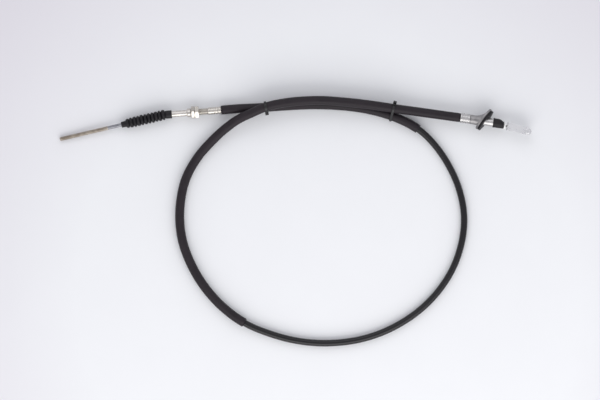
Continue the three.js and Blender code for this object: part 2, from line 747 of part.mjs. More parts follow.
function pedalRope() {
  return rod(-ROPE_IN_TUBE, stopEnd - STOP_END_WALL - SEAT_GAP, ropeRadius, CORD_SIDES);
}

function ropeStop() {
  const bore = ropeRadius + SEAT_GAP;
  const radius = STOP_DIAMETER / 2;
  return turned([
    [stopStart, bore],
    [stopStart, radius - ROD_CHAMFER],
    [stopStart + ROD_CHAMFER, radius],
    [stopEnd - ROD_CHAMFER, radius],
    [stopEnd, radius - ROD_CHAMFER],
    [stopEnd, 0],
    [stopEnd - STOP_END_WALL, 0],
    [stopEnd - STOP_END_WALL, bore],
  ], SMALL_SIDES);
}

// The yoke is one strip bent into a U, seen from its side, with round ends about the pin.
function pedalYoke() {
  const far = yokeStart + YOKE_LENGTH;
  const inner = Math.max(YOKE_BEND_RADIUS - YOKE_SHEET, 0.2);
  const [out, slot] = [cheekOutside, YOKE_SLOT / 2];
  const side = new THREE.Shape();
  side.moveTo(far, -out);
  side.lineTo(far, -slot);
  side.lineTo(webInside + inner, -slot);
  side.absarc(webInside + inner, -slot + inner, inner, -Math.PI / 2, -Math.PI, true);
  side.lineTo(webInside, slot - inner);
  side.absarc(webInside + inner, slot - inner, inner, Math.PI, Math.PI / 2, true);
  side.lineTo(far, slot);
  side.lineTo(far, out);
  side.lineTo(yokeStart + YOKE_BEND_RADIUS, out);
  side.absarc(yokeStart + YOKE_BEND_RADIUS, out - YOKE_BEND_RADIUS, YOKE_BEND_RADIUS, Math.PI / 2, Math.PI);
  side.lineTo(yokeStart, -out + YOKE_BEND_RADIUS);
  side.absarc(yokeStart + YOKE_BEND_RADIUS, -out + YOKE_BEND_RADIUS, YOKE_BEND_RADIUS, Math.PI, Math.PI * 1.5);
  const strip = plate(side, YOKE_WIDTH, 5).rotateX(Math.PI / 2).translate(0, YOKE_WIDTH / 2, 0);

  const half = YOKE_WIDTH / 2;
  const plan = new THREE.Shape();
  plan.moveTo(yokeStart - 1, half);
  plan.lineTo(yokeStart - 1, -half);
  plan.lineTo(pinPlace, -half);
  plan.absarc(pinPlace, 0, half, -Math.PI / 2, Math.PI / 2);
  const height = 2 * (out + 1);
  const blank = common(strip, plate(plan, height, 10).translate(0, 0, -height / 2));

  const post = (radius, from, to) =>
    new THREE.CylinderGeometry(radius, radius, to - from, TURNED_SIDES)
      .rotateX(Math.PI / 2)
      .translate(pinPlace, 0, (from + to) / 2);
  const bossTop = out + YOKE_BOSS_HEIGHT;
  const withBosses = joined(
    blank,
    post(YOKE_BOSS_DIAMETER / 2, slot + SEAT_GAP, bossTop),
    post(YOKE_BOSS_DIAMETER / 2, -bossTop, -slot - SEAT_GAP),
  );
  const pinHole = post(PIN_DIAMETER / 2 + SEAT_GAP, -bossTop - 1, bossTop + 1);
  const ropeHole = rod(yokeStart - 1, webInside + 1, ropeRadius + SEAT_GAP);
  return cut(withBosses, pinHole, ropeHole);
}

const pinSeat = cheekOutside + YOKE_BOSS_HEIGHT + SEAT_GAP;
const clipTop = -pinSeat;
const clipBottom = clipTop - CLIP_THICKNESS;

// The pin stands along Z, with its head above and a groove for the clip below.
function clevisPin() {
  const radius = PIN_DIAMETER / 2;
  const groove = radius - CLIP_GROOVE_DEPTH;
  const head = PIN_HEAD_DIAMETER / 2;
  const tail = clipBottom - PIN_TAIL;
  return turned([
    [tail, 0],
    [tail, radius - ROD_CHAMFER / 2],
    [tail + ROD_CHAMFER / 2, radius],
    [clipBottom - SEAT_GAP, radius],
    [clipBottom - SEAT_GAP, groove],
    [clipTop + SEAT_GAP, groove],
    [clipTop + SEAT_GAP, radius],
    [pinSeat, radius],
    [pinSeat, head],
    [pinSeat + PIN_HEAD_HEIGHT - ROD_CHAMFER / 2, head],
    [pinSeat + PIN_HEAD_HEIGHT, head - ROD_CHAMFER / 2],
    [pinSeat + PIN_HEAD_HEIGHT, 0],
  ], SMALL_SIDES)
    .rotateY(-Math.PI / 2)
    .translate(pinPlace, 0, 0);
}

function pinClip() {
  const inner = PIN_DIAMETER / 2 - CLIP_GROOVE_DEPTH + SEAT_GAP;
  const outer = CLIP_DIAMETER / 2;
  const half = radians(CLIP_MOUTH) / 2;
  const ring = new THREE.Shape();
  ring.absarc(0, 0, outer, half, 2 * Math.PI - half);
  ring.absarc(0, 0, inner, 2 * Math.PI - half, half, true);
  return plate(ring, CLIP_THICKNESS, 14).translate(pinPlace, 0, clipBottom);
}

// Cable ties: each band goes round both strands where it crosses them

// The place between two others at which the line crosses the plane through a point, square to a way
function crossing(from, to, point, way) {
  let [low, high] = [from, to];
  for (let i = 0; i < 40; i += 1) {
    const middle = (low + high) / 2;
    const ahead = line.getPointAt(middle / lineLength).sub(point).dot(way);
    if (ahead < 0) low = middle;
    else high = middle;
  }
  return low;
}

function cableTie(atX, headAngle) {
  const east = new THREE.Vector3(1, 0, 0);
  const start = new THREE.Vector3(atX, 0, 0);
  const lower = [sleeveFace, releaseSleeveEnd];
  const upper = [pedalFace - releaseSleeveEnd, pedalFace];
  const first = crossing(...lower, start, east);
  const second = crossing(...upper, start, east);
  const along = line
    .getTangentAt(first / lineLength)
    .add(line.getTangentAt(second / lineLength))
    .setZ(0)
    .normalize();
  const middle = line
    .getPointAt(first / lineLength)
    .add(line.getPointAt(second / lineLength))
    .multiplyScalar(0.5);
  const aside = new THREE.Vector3(0, 0, 1).cross(along);
  const placed = [lower, upper].map((span) => {
    const point = line.getPointAt(crossing(...span, middle, along) / lineLength).sub(middle);
    return new THREE.Vector2(point.dot(aside), point.z);
  });
  const [low, high] = placed;
  const climb = high.clone().sub(low).angle();
  const inner = sleeveRadius + TIE_SLACK;
  const racetrack = (radius) => {
    const shape = new THREE.Shape();
    shape.absarc(low.x, low.y, radius, climb + Math.PI / 2, climb + Math.PI * 1.5);
    shape.absarc(high.x, high.y, radius, climb - Math.PI / 2, climb + Math.PI / 2);
    return shape;
  };
  const sheath = racetrack(inner + TIE_BAND);
  sheath.holes.push(racetrack(inner));
  const band = plate(sheath, TIE_WIDTH, 9).translate(0, 0, -TIE_WIDTH / 2);

  const [alongCable, alongBand, outwards] = TIE_HEAD;
  const headMiddle = inner + outwards / 2 + TIE_BAND / 4;
  const tailReach = alongBand / 2 + TIE_TAIL / 2;
  const head = joined(
    new THREE.BoxGeometry(outwards, alongBand, alongCable).translate(headMiddle, 0, 0),
    new THREE.BoxGeometry(TIE_BAND, TIE_TAIL + 1, TIE_WIDTH).translate(headMiddle, tailReach, 0),
  )
    .rotateZ(radians(headAngle))
    .translate(high.x, high.y, 0);

  const frame = new THREE.Matrix4().makeBasis(aside, new THREE.Vector3(0, 0, 1), along.clone());
  return joined(band, head).applyMatrix4(frame.setPosition(middle));
}

// The whole part

releaseEnd.add(
  node("release_ferrule", releaseFerrule(), steel),
  node("adjuster_tube", adjusterTube(), steel),
  node("adjusting_nut", nut(adjustingNutStart, ADJUSTING_NUT_THICKNESS, 0), steel),
  node("lock_nut", nut(lockNutStart, LOCK_NUT_THICKNESS, LOCK_NUT_TURN), steel),
  node("guide_tube", guideTube(), bright),
  node("bellows", bellows(), rubber),
);
rodGroup.add(node("release_rod", releaseRod(), yellowZinc));

pedalEnd.add(
  node("pedal_ferrule", pedalFerrule(), bright),
  node("bulkhead_flange", bulkheadFlange(), casting),
  node("bulkhead_gasket", bulkheadGasket(), rubber),
  node("pedal_tube", pedalTube(), bright),
  node("cone_boot", coneBoot(), rubber),
);
ropeGroup.add(
  node("boot_bush", bootBush(), nylonWhite),
  node("pedal_rope", pedalRope(), rope),
  node("rope_stop", ropeStop(), steel),
  node("pedal_yoke", pedalYoke(), bright),
  node("clevis_pin", clevisPin(), bright),
  node("pin_clip", pinClip(), steel),
);

const cable = new THREE.Group();
cable.add(
  ...conduit(),
  node("release_tie", cableTie(RELEASE_TIE_X, RELEASE_TIE_HEAD_ANGLE), nylonBlack),
  node("pedal_tie", cableTie(PEDAL_TIE_X, PEDAL_TIE_HEAD_ANGLE), nylonBlack),
  releaseEnd,
  pedalEnd,
);

export default cable;
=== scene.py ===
# %% [markdown]
# # A clutch cable, dressed piece by piece
# The frame is the CAD model of the cable, in metres, with one body for each thing that moves: the
# casing, the release rod, the rope's end and the yoke. Everything below is built round that frame, so
# nothing has to be fitted by eye. The first cell loads it.

# %% Load the frame
import math

import bmesh
import bpy
from mathutils import Matrix, Vector, kdtree


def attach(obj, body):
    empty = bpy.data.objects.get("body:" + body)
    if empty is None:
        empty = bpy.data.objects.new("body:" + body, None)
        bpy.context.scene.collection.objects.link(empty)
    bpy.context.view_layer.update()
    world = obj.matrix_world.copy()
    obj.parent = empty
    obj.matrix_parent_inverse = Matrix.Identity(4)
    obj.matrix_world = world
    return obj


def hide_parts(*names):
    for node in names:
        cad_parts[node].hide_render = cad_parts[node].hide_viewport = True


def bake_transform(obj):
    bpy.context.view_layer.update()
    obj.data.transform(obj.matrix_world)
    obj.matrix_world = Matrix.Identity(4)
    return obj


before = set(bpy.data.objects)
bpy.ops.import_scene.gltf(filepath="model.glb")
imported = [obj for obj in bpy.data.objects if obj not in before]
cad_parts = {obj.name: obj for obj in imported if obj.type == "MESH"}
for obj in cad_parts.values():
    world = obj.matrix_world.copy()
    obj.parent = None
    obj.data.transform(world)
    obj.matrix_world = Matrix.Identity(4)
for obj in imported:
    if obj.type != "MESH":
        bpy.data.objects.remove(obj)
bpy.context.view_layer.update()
MM = 0.001

# %% [markdown]
# ## Camera
# The cable was photographed from straight above. A short lens would make the parts that lie higher
# look larger, so the camera stands far off behind a long lens. Its height follows from the width of
# bench that the picture shows.

# %% Camera
PICTURE_WIDTH = 900 * MM
PICTURE_CENTRE = Vector((7.2, -114.3, 0)) * MM
LENS = 240
SENSOR = 36

camera = bpy.data.objects.new("camera", bpy.data.cameras.new("camera"))
camera.data.lens = LENS
camera.data.sensor_width = SENSOR
camera.data.clip_end = 50
camera.location = PICTURE_CENTRE + Vector((0, 0, PICTURE_WIDTH * LENS / SENSOR))
bpy.context.scene.collection.objects.link(camera)
bpy.context.scene.camera = camera
print("camera height:", round(camera.location.z, 2), "m")

# %% [markdown]
# ## The places of the two end fittings
# Each end of a cable is a row of turned parts on one axis. Such parts are easiest to draw along X and
# then to lay in place with one matrix. There are four axes here: the adjuster, the rod, the bulkhead
# fitting and the rope's end. They are in millimetres, because small parts are easier to read that way.

# %% The four axes
NUT_FLATS = 17
ROD_RADIUS = 3
KINK = 86  # from the sleeve to the point where the rod's axis meets the adjuster's
ROD_TIP = 160.3  # from that kink
BOOT_START = 49.6
nut_corner = NUT_FLATS / 2 / math.cos(math.radians(30))


def axis_at(x, y, z, heading):
    return Matrix.Translation((x, y, z)) @ Matrix.Rotation(math.radians(heading), 4, "Z")


reach = ROD_TIP - 0.8
droop = math.asin(nut_corner / math.hypot(reach, ROD_RADIUS)) - math.atan2(ROD_RADIUS, reach)
adjuster_axis = axis_at(-111, 20.3, nut_corner, 184.8)
rod_axis = adjuster_axis @ axis_at(KINK, 0, 0, 8.3) @ Matrix.Rotation(droop, 4, "Y")
fitting_axis = axis_at(247, 8.8, 14, -8.5)
rope_axis = fitting_axis @ axis_at(BOOT_START, 0, 0, -5.7)
print("the rod droops by", round(math.degrees(droop), 2), "degrees")

# %% [markdown]
# ## The route of the cable
# A cable is one smooth curve, so every tube on it is a stretch of the same line. The points below are
# given one by one. The cable lies on the bench, goes round the loop, and climbs over itself in a long low
# hump. A centripetal Catmull-Rom line passes through each point and doesn't swing out between them.

# %% Route
SLEEVE_FACE = Vector((-111, 20.3, nut_corner)) * MM
ROUTE = [
    SLEEVE_FACE,
    (-0.083, 0.0226, 0.0095),
    (-0.050, 0.0241, 0.0090),
    (-0.017, 0.0264, 0.0081),
    (0.030, 0.0284, 0.0070),
    (0.079, 0.0259, 0.0070),
    (0.118, 0.0194, 0.0082),
    (0.151, 0.0091, 0.0089),
    (0.183, -0.0073, 0.0076),
    (0.204, -0.0260, 0.0060),
    (0.226, -0.0555, 0.0052),
    (0.244, -0.0932, 0.0051),
    (0.253, -0.1367, 0.0051),
    (0.249, -0.1802, 0.0051),
    (0.232, -0.2250, 0.0051),
    (0.198, -0.2692, 0.0051),
    (0.153, -0.3020, 0.0051),
    (0.104, -0.3216, 0.0051),
    (0.052, -0.3288, 0.0051),
    (0.004, -0.3255, 0.0052),
    (-0.041, -0.3136, 0.0058),
    (-0.078, -0.2973, 0.0068),
    (-0.116, -0.2676, 0.0069),
    (-0.147, -0.2275, 0.0069),
    (-0.168, -0.1787, 0.0069),
    (-0.173, -0.1337, 0.0069),
    (-0.165, -0.0857, 0.0069),
    (-0.147, -0.0517, 0.0073),
    (-0.126, -0.0272, 0.0092),
    (-0.106, -0.0086, 0.0128),
    (-0.086, 0.0058, 0.0172),
    (-0.066, 0.0154, 0.0213),
    (-0.042, 0.0253, 0.0234),
    (-0.005, 0.0323, 0.0221),
    (0.040, 0.0344, 0.0208),
    (0.082, 0.0313, 0.0208),
    (0.115, 0.0274, 0.0208),
    (0.144, 0.0231, 0.0188),
    (0.175, 0.0188, 0.0156),
    (0.247, 0.0088, 0.0140),
]
FERRULE_GRIP = 12
PEDAL_GRIP = 10.7
PARTS = 16  # short straight parts in each span of the line


def smooth_line(points):
    ends = [2 * points[0] - points[1], *points, 2 * points[-1] - points[-2]]
    line = []
    for a, b, c, d in zip(ends, ends[1:], ends[2:], ends[3:]):
        t0, t1 = 0, (b - a).length ** 0.5
        t2 = t1 + (c - b).length ** 0.5
        t3 = t2 + (d - c).length ** 0.5
        for i in range(PARTS):
            t = t1 + (t2 - t1) * i / PARTS
            ab = a.lerp(b, (t - t0) / (t1 - t0))
            bc = b.lerp(c, (t - t1) / (t2 - t1))
            cd = c.lerp(d, (t - t2) / (t3 - t2))
            abc = ab.lerp(bc, (t - t0) / (t2 - t0))
            bcd = bc.lerp(cd, (t - t1) / (t3 - t1))
            line.append(abc.lerp(bcd, (t - t1) / (t2 - t1)))
    return line + [points[-1]]


line = smooth_line(
    [
        adjuster_axis @ Vector((FERRULE_GRIP, 0, 0)) * MM,
        *[Vector(place) for place in ROUTE],
        fitting_axis @ Vector((PEDAL_GRIP, 0, 0)) * MM,
    ]
)
run = [0.0]
for a, b in zip(line, line[1:]):
    run.append(run[-1] + (b - a).length)
sleeve_face = run[PARTS]
pedal_face = run[-1 - PARTS]
print("from sleeve to sleeve:", round(pedal_face - sleeve_face, 4), "m")

# %% [markdown]
# ## Tubes on the route
# Blender sweeps a round section along a curve object by itself. The curve is made a mesh, so that each
# point can carry how far along the cable it lies. The conduit's finish reads that distance, and its ribs
# then follow every bend, which a pattern in plain object space would not.

# %% Tube helper
STEP = 4 * MM


def place_at(distance):
    i = next((k for k, r in enumerate(run[1:], 1) if r >= distance), len(run) - 1)
    share = (distance - run[i - 1]) / (run[i] - run[i - 1])
    return line[i - 1].lerp(line[i], min(share, 1))


def stretch(start, end, step=STEP):
    count = round((end - start) / step)
    return [place_at(start + (end - start) * i / count) for i in range(count + 1)]


def tube_along(name, places, diameter, start, capped, lip=1.0, sides=32):
    curve = bpy.data.curves.new(name, "CURVE")
    curve.dimensions = "3D"
    curve.bevel_depth = diameter / 2
    curve.bevel_resolution = (sides - 4) // 2
    curve.use_fill_caps = capped
    spline = curve.splines.new("POLY")
    spline.points.add(len(places) - 1)
    for point, place in zip(spline.points, places):
        point.co = (*place, 1)
    spline.points[0].radius = spline.points[-1].radius = lip
    drawn = bpy.data.objects.new(name, curve)
    bpy.context.scene.collection.objects.link(drawn)
    seen = drawn.evaluated_get(bpy.context.evaluated_depsgraph_get())
    mesh = bpy.data.meshes.new_from_object(seen)
    bpy.data.objects.remove(drawn)
    bm = bmesh.new()
    bm.from_mesh(mesh)
    bmesh.ops.remove_doubles(bm, verts=bm.verts, dist=1e-6)
    bmesh.ops.recalc_face_normals(bm, faces=bm.faces)
    bm.to_mesh(mesh)
    bm.free()

    tree = kdtree.KDTree(len(places))
    for i, place in enumerate(places):
        tree.insert(place, i)
    tree.balance()
    length = sum((b - a).length for a, b in zip(places, places[1:]))
    along = mesh.attributes.new("along", "FLOAT", "POINT")
    for vertex in mesh.vertices:
        nearest = tree.find(vertex.co)[1]
        along.data[vertex.index].value = start + length * nearest / (len(places) - 1)
    mesh.shade_smooth()
    mesh.set_sharp_from_angle(angle=math.radians(40))
    tube = bpy.data.objects.new(name, mesh)
    bpy.context.scene.collection.objects.link(tube)
    return tube


# %% [markdown]
# ## Conduit and sleeves
# The conduit is the glossy black tube that the rope slides in. Two matt sleeves are pushed over it: a
# short one at the release end, and a long one that covers the rest of the loop up to the bulkhead. Their
# walls come from a Solidify modifier that goes inwards, so the outside keeps its diameter.

# %% Conduit and sleeves
CONDUIT_DIAMETER = 10 * MM
SLEEVE_DIAMETER = 13.6 * MM
SLEEVE_WALL = 1.1 * MM
RELEASE_SLEEVE = 302 * MM
PEDAL_SLEEVE = 713 * MM

conduit_places = stretch(sleeve_face, run[-1])
conduit = tube_along("conduit", conduit_places, CONDUIT_DIAMETER, sleeve_face, True)
sleeves = []
for name, start, end in (
    ("sleeve_release", sleeve_face, sleeve_face + RELEASE_SLEEVE),
    ("sleeve_pedal", pedal_face - PEDAL_SLEEVE, pedal_face),
):
    sleeve = tube_along(name, stretch(start, end), SLEEVE_DIAMETER, start, False, lip=0.96, sides=40)
    wall = sleeve.modifiers.new("wall", "SOLIDIFY")
    wall.thickness = SLEEVE_WALL
    wall.offset = -1
    sleeves.append(sleeve)
print("conduit:", len(conduit.data.polygons), "faces")

# %% [markdown]
# ## Shaping helpers
# Most parts of a cable are turned on a lathe. A turned part is half an outline spun about its axis.
# Softened corners matter more than anything else on bare metal, because each one catches a thin line of
# light. The outline gets its small curves before the spin, which is cleaner than a bevel afterwards.

# %% Turned parts
TURNS = 72  # faces round a turned part


def softened(outline, size):
    """Cuts the corners of a closed outline of (x, radius) places with small curves."""
    places = [Vector((x, radius)) for x, radius in outline]
    soft = []
    for before, corner, after in zip(places[-1:] + places, places, places[1:] + places[:1]):
        if corner.y == 0:
            soft.append(corner)
            continue
        back, ahead = before - corner, after - corner
        start = corner + back.normalized() * min(size, back.length * 0.4)
        end = corner + ahead.normalized() * min(size, ahead.length * 0.4)
        for t in (0, 0.33, 0.67, 1):
            soft.append(start.lerp(corner, t).lerp(corner.lerp(end, t), t))
    return [tuple(place) for place in soft]


def turned(outline, soft=0.3, steps=TURNS):
    bm = bmesh.new()
    places = softened(outline, soft) if soft else outline
    verts = [bm.verts.new((x, 0, radius)) for x, radius in places]
    edges = [bm.edges.new(pair) for pair in zip(verts, verts[1:])]
    if places[0][1] > 0:
        edges.append(bm.edges.new((verts[-1], verts[0])))
    bmesh.ops.spin(
        bm,
        geom=verts + edges,
        cent=(0, 0, 0),
        axis=(1, 0, 0),
        angle=math.tau,
        steps=steps,
        use_merge=True,
    )
    bmesh.ops.remove_doubles(bm, verts=bm.verts, dist=1e-4)
    bmesh.ops.delete(bm, geom=[edge for edge in bm.edges if edge.is_wire], context="EDGES")
    bmesh.ops.recalc_face_normals(bm, faces=bm.faces)
    return bm


def trimmed(bm, place, way):
    """Cuts off what lies beyond a plane and closes the cut."""
    geometry = bm.verts[:] + bm.edges[:] + bm.faces[:]
    cut = bmesh.ops.bisect_plane(
        bm, geom=geometry, dist=1e-4, plane_co=place, plane_no=way, clear_outer=True
    )
    rim = [piece for piece in cut["geom_cut"] if isinstance(piece, bmesh.types.BMEdge)]
    bmesh.ops.holes_fill(bm, edges=rim, sides=0)
    return bm


def without_inner_faces(bm):
    """Takes out the faces that repeated extrusions leave across the inside of a shape."""
    inner = [face for face in bm.faces if all(len(edge.link_faces) > 2 for edge in face.edges)]
    bmesh.ops.delete(bm, geom=inner, context="FACES_ONLY")
    bmesh.ops.recalc_face_normals(bm, faces=bm.faces)


def gathered(*parts):
    """Puts several shapes in one."""
    whole = bmesh.new()
    for part in parts:
        mesh = bpy.data.meshes.new("part")
        part.to_mesh(mesh)
        part.free()
        whole.from_mesh(mesh)
        bpy.data.meshes.remove(mesh)
    return whole


# %% [markdown]
# ## From a shape to a piece
# A finished piece's object stays at the origin, and its place is baked in its mesh. This helper lays a
# shape on one of the axes, scales it to metres, hangs it on the body that it moves with, and hides the CAD
# node that it stands for.

# %% Piece helper
def piece(name, bm, axis, body, node, slot, sharp=35):
    bm.transform(Matrix.Scale(MM, 4) @ axis)
    mesh = bpy.data.meshes.new(name)
    bm.to_mesh(mesh)
    bm.free()
    mesh.shade_smooth()
    mesh.set_sharp_from_angle(angle=math.radians(sharp))
    made = bpy.data.objects.new(name, mesh)
    bpy.context.scene.collection.objects.link(made)
    if body:
        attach(made, body)
    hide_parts(node)
    print(f"{name}: {len(mesh.polygons)} faces")
    return made


# %% [markdown]
# ## Screw threads
# A thread is one tooth's outline carried round a helix. The spin operator does that when it is also
# given a small move for each step. A tooth that is exactly one pitch long meets itself after each turn,
# so merging the doubles leaves one skin. Two planes then cut the ends square.

# %% Screw threads
def threaded(start, end, radius, pitch, depth, steps=36):
    bm = bmesh.new()
    root = radius - depth
    tooth = [(0, root), (0.12, root), (0.44, radius), (0.56, radius), (0.88, root), (1, root)]
    verts = [bm.verts.new((start - pitch + x * pitch, 0, r)) for x, r in tooth]
    edges = [bm.edges.new(pair) for pair in zip(verts, verts[1:])]
    turns = math.ceil((end - start) / pitch) + 2
    bmesh.ops.spin(
        bm,
        geom=verts + edges,
        cent=(0, 0, 0),
        axis=(1, 0, 0),
        dvec=(pitch / steps, 0, 0),
        angle=math.tau * turns,
        steps=steps * turns,
    )
    bmesh.ops.remove_doubles(bm, verts=bm.verts, dist=pitch / steps / 4)
    trimmed(bm, (start, 0, 0), (-1, 0, 0))
    trimmed(bm, (end, 0, 0), (1, 0, 0))
    bmesh.ops.recalc_face_normals(bm, faces=bm.faces)
    return bm


# %% [markdown]
# ## Release ferrule
# The ferrule is a steel ring crimped round the stripped conduit. The press leaves shallow rings in it.

# %% Release ferrule
FERRULE_END = 19.6
BORE = 2.5


def crimped(start, end, radius, places, width=2.4, depth=0.5):
    outline = [(start, radius)]
    for place in places:
        a, b = place - width / 2, place + width / 2
        outline += [(a, radius), (a + depth, radius - depth), (b - depth, radius - depth), (b, radius)]
    return outline + [(end, radius)]


ferrule_outline = crimped(0.3, FERRULE_END, 5.5, (4.3, 9.3)) + [(FERRULE_END, 4), (0.3, 4)]
release_ferrule = piece(
    "ferrule_release",
    turned(ferrule_outline, soft=0.35),
    adjuster_axis,
    "casing",
    "release_ferrule",
    "steel",
)

# %% [markdown]
# ## Threaded adjuster and its nuts
# The adjuster is a tube with a fine thread. Two nuts on it grip the gearbox's bracket in use, and are
# jammed on each other here. A nut is a turned disc with a cone at each side, and six planes then cut its
# flats, which gives the curved edges that a real nut has.

# %% Adjuster
THREAD_START, THREAD_END = 19.9, 44.9
COLLAR_START, COLLAR_END = 45.2, 51.2

adjuster = piece(
    "adjuster",
    gathered(
        threaded(THREAD_START, THREAD_END, 5, 1.25, 0.65),
        turned([(13.4, 0), (13.4, 3.9), (THREAD_START + 0.5, 3.9), (THREAD_START + 0.5, 0)]),
        turned([(THREAD_END - 0.5, 0), (THREAD_END - 0.5, 3.9), (50.9, 3.9), (50.9, 0)]),
    ),
    adjuster_axis,
    "casing",
    "adjuster_tube",
    "steel",
)


# %% Nuts
def hexagon_nut(start, thickness, turn):
    rim, corner, bore = NUT_FLATS / 2, nut_corner + 0.3, 5.3
    end, chamfer = start + thickness, 1.0
    outline = [(start, bore + 0.4), (start, rim), (start + chamfer, corner), (end - chamfer, corner)]
    outline += [(end, rim), (end, bore + 0.4), (end - 0.5, bore), (start + 0.5, bore)]
    bm = turned(outline, soft=0.15, steps=96)
    for side in range(6):
        angle = math.radians(60 * side)
        way = Vector((0, math.cos(angle), math.sin(angle)))
        trimmed(bm, way * NUT_FLATS / 2, way)
    bmesh.ops.rotate(
        bm, verts=bm.verts, cent=(0, 0, 0), matrix=Matrix.Rotation(math.radians(turn), 3, "X")
    )
    return bm


adjusting_nut = piece(
    "nut_adjusting", hexagon_nut(33.4, 6, 0), adjuster_axis, "casing", "adjusting_nut", "steel", sharp=25
)
lock_nut = piece("nut_lock", hexagon_nut(39.7, 5, 8), adjuster_axis, "casing", "lock_nut", "steel", sharp=25)

# %% [markdown]
# ## Guide tube
# The guide tube has a collar that stops the nuts, and a low bead near its mouth that keeps the bellows
# from creeping off.

# %% Guide tube
GUIDE_RADIUS = 4.7
guide_outline = [
    (COLLAR_START, 4.2),
    (COLLAR_START, 5.9),
    (COLLAR_START + 0.8, 6.5),
    (COLLAR_END - 0.8, 6.5),
    (COLLAR_END, 5.9),
    (COLLAR_END + 0.2, GUIDE_RADIUS),
    (80, GUIDE_RADIUS),
    (81, GUIDE_RADIUS + 0.4),
    (82, GUIDE_RADIUS),
    (KINK, GUIDE_RADIUS),
    (KINK, BORE),
    (COLLAR_END, BORE),
    (COLLAR_END, 4.2),
]
guide_tube = piece(
    "guide_tube", turned(guide_outline, soft=0.4), adjuster_axis, "casing", "guide_tube", "bright_zinc"
)

# %% [markdown]
# ## Bellows
# The rubber bellows keeps water out of the adjuster and folds up as the rod goes in. Its crests are
# round and its valleys are tight, which a power of the distance from the crest gives. The wall has one
# thickness, so the same outline is drawn again further in. Rubber folds never stand quite square, so each
# crest leans a little, each a different way. The straight bellows is then bent, because the rod doesn't
# point quite the way that the adjuster does.

# %% Bellows
BELLOWS_START, BELLOWS_LENGTH = 74, 77.3
COLLAR_LENGTH, TIP_LENGTH = 10, 7
FOLDS, FOLD_CREST, FOLD_ROOT = 11, 7.85, 5.3
BEND_START, BEND_LENGTH = 82, 8
FOLD_PARTS = 10


def bellows_outline():
    folds_end = BELLOWS_LENGTH - TIP_LENGTH
    pitch = (folds_end - COLLAR_LENGTH) / FOLDS
    outside = [(0, 5.9), (0.3, 6.2), (3, 6.15), (COLLAR_LENGTH - 2.2, 6.1), (COLLAR_LENGTH - 1, 6)]
    inside = [(0, 5.4), (COLLAR_LENGTH, 5.4)]
    for fold in range(FOLDS):
        late = max(0, fold - FOLDS + 3) / 2
        crest = FOLD_CREST - 0.85 * late + 0.12 * math.sin(fold * 2.3)
        for part in range(FOLD_PARTS):
            share = part / FOLD_PARTS
            swell = (1 - abs(2 * share - 1) ** 2.4) ** 0.8
            x = COLLAR_LENGTH + (fold + share) * pitch
            outside.append((x, FOLD_ROOT + (crest - FOLD_ROOT) * swell))
        inside.append((COLLAR_LENGTH + (fold + 0.5) * pitch, crest - 1))
        inside.append((COLLAR_LENGTH + (fold + 1) * pitch, FOLD_ROOT - 0.6))
    outside += [(folds_end, FOLD_ROOT - 0.3), (folds_end + 1, 4.6), (BELLOWS_LENGTH - 0.4, 4.5)]
    outside += [(BELLOWS_LENGTH, 4.2)]
    inside[-1] = (folds_end, 3)
    inside.append((BELLOWS_LENGTH, 3))
    return outside + inside[::-1]


def bent_to_rod(bm):
    rod_turn = (adjuster_axis.inverted() @ rod_axis).to_quaternion()
    end = rod_turn @ Vector((1, 0, 0))
    for vert in bm.verts:
        x, y, z = vert.co
        share = min(max((x - BEND_START) / BEND_LENGTH, 0), 1)
        turn = rod_turn.copy()
        turn.identity()
        turn = turn.slerp(rod_turn, share)
        heading = Vector((1, 0, 0)).lerp(end, share / 2).normalized()
        middle = Vector((min(x, BEND_START), 0, 0)) + heading * share * BEND_LENGTH
        middle += end * max(0, x - BEND_START - BEND_LENGTH)
        vert.co = middle + turn @ Vector((0, y, z))
    return bm


straight = turned([(x + BELLOWS_START, r) for x, r in bellows_outline()], soft=0)
for vert in straight.verts:
    x, y, z = vert.co
    if BELLOWS_START + COLLAR_LENGTH < x < BELLOWS_START + BELLOWS_LENGTH - TIP_LENGTH:
        swell = max(0, math.hypot(y, z) - FOLD_ROOT)
        vert.co.x += 0.2 * swell * math.sin(math.atan2(z, y) + 0.55 * x)
bellows = piece("bellows_rubber", bent_to_rod(straight), adjuster_axis, None, "bellows", "rubber", sharp=60)
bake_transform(bellows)

# %% [markdown]
# ## Release rod
# The rod is swaged on the rope: its shank is a plain tube, and the rest has a fine thread for the nut on
# the release lever. A short bright shoulder lies between them.

# %% Release rod
SHANK_START, SHANK_END = 45.3, 86.9
shank_outline = [(SHANK_START, 1.9), (SHANK_START, 2.7), (SHANK_END - 0.4, 2.7), (SHANK_END - 0.4, 0)]
shank_outline += [(81.9, 0), (81.9, 1.9)]
shank = piece(
    "rod_shank", turned(shank_outline, steps=48), rod_axis, "rod", "release_rod", "yellow_zinc"
)
shoulder_outline = [(SHANK_END - 0.6, 0), (SHANK_END - 0.6, 2.6), (SHANK_END, ROD_RADIUS + 0.05)]
shoulder_outline += [(SHANK_END + 1.6, ROD_RADIUS + 0.05), (SHANK_END + 2, 2.6), (SHANK_END + 2, 0)]
rod = piece(
    "rod_release",
    gathered(
        turned(shoulder_outline, soft=0.2, steps=48),
        threaded(SHANK_END + 1.8, ROD_TIP - 0.7, ROD_RADIUS, 1, 0.45, steps=28),
        turned([(ROD_TIP - 0.8, 0), (ROD_TIP - 0.8, 2.6), (ROD_TIP, 2.2), (ROD_TIP, 0)], steps=48),
    ),
    rod_axis,
    "rod",
    "release_rod",
    "yellow_zinc",
)

# %% [markdown]
# ## Pedal ferrule
# The larger cup is crimped round the whole conduit, with three rings.

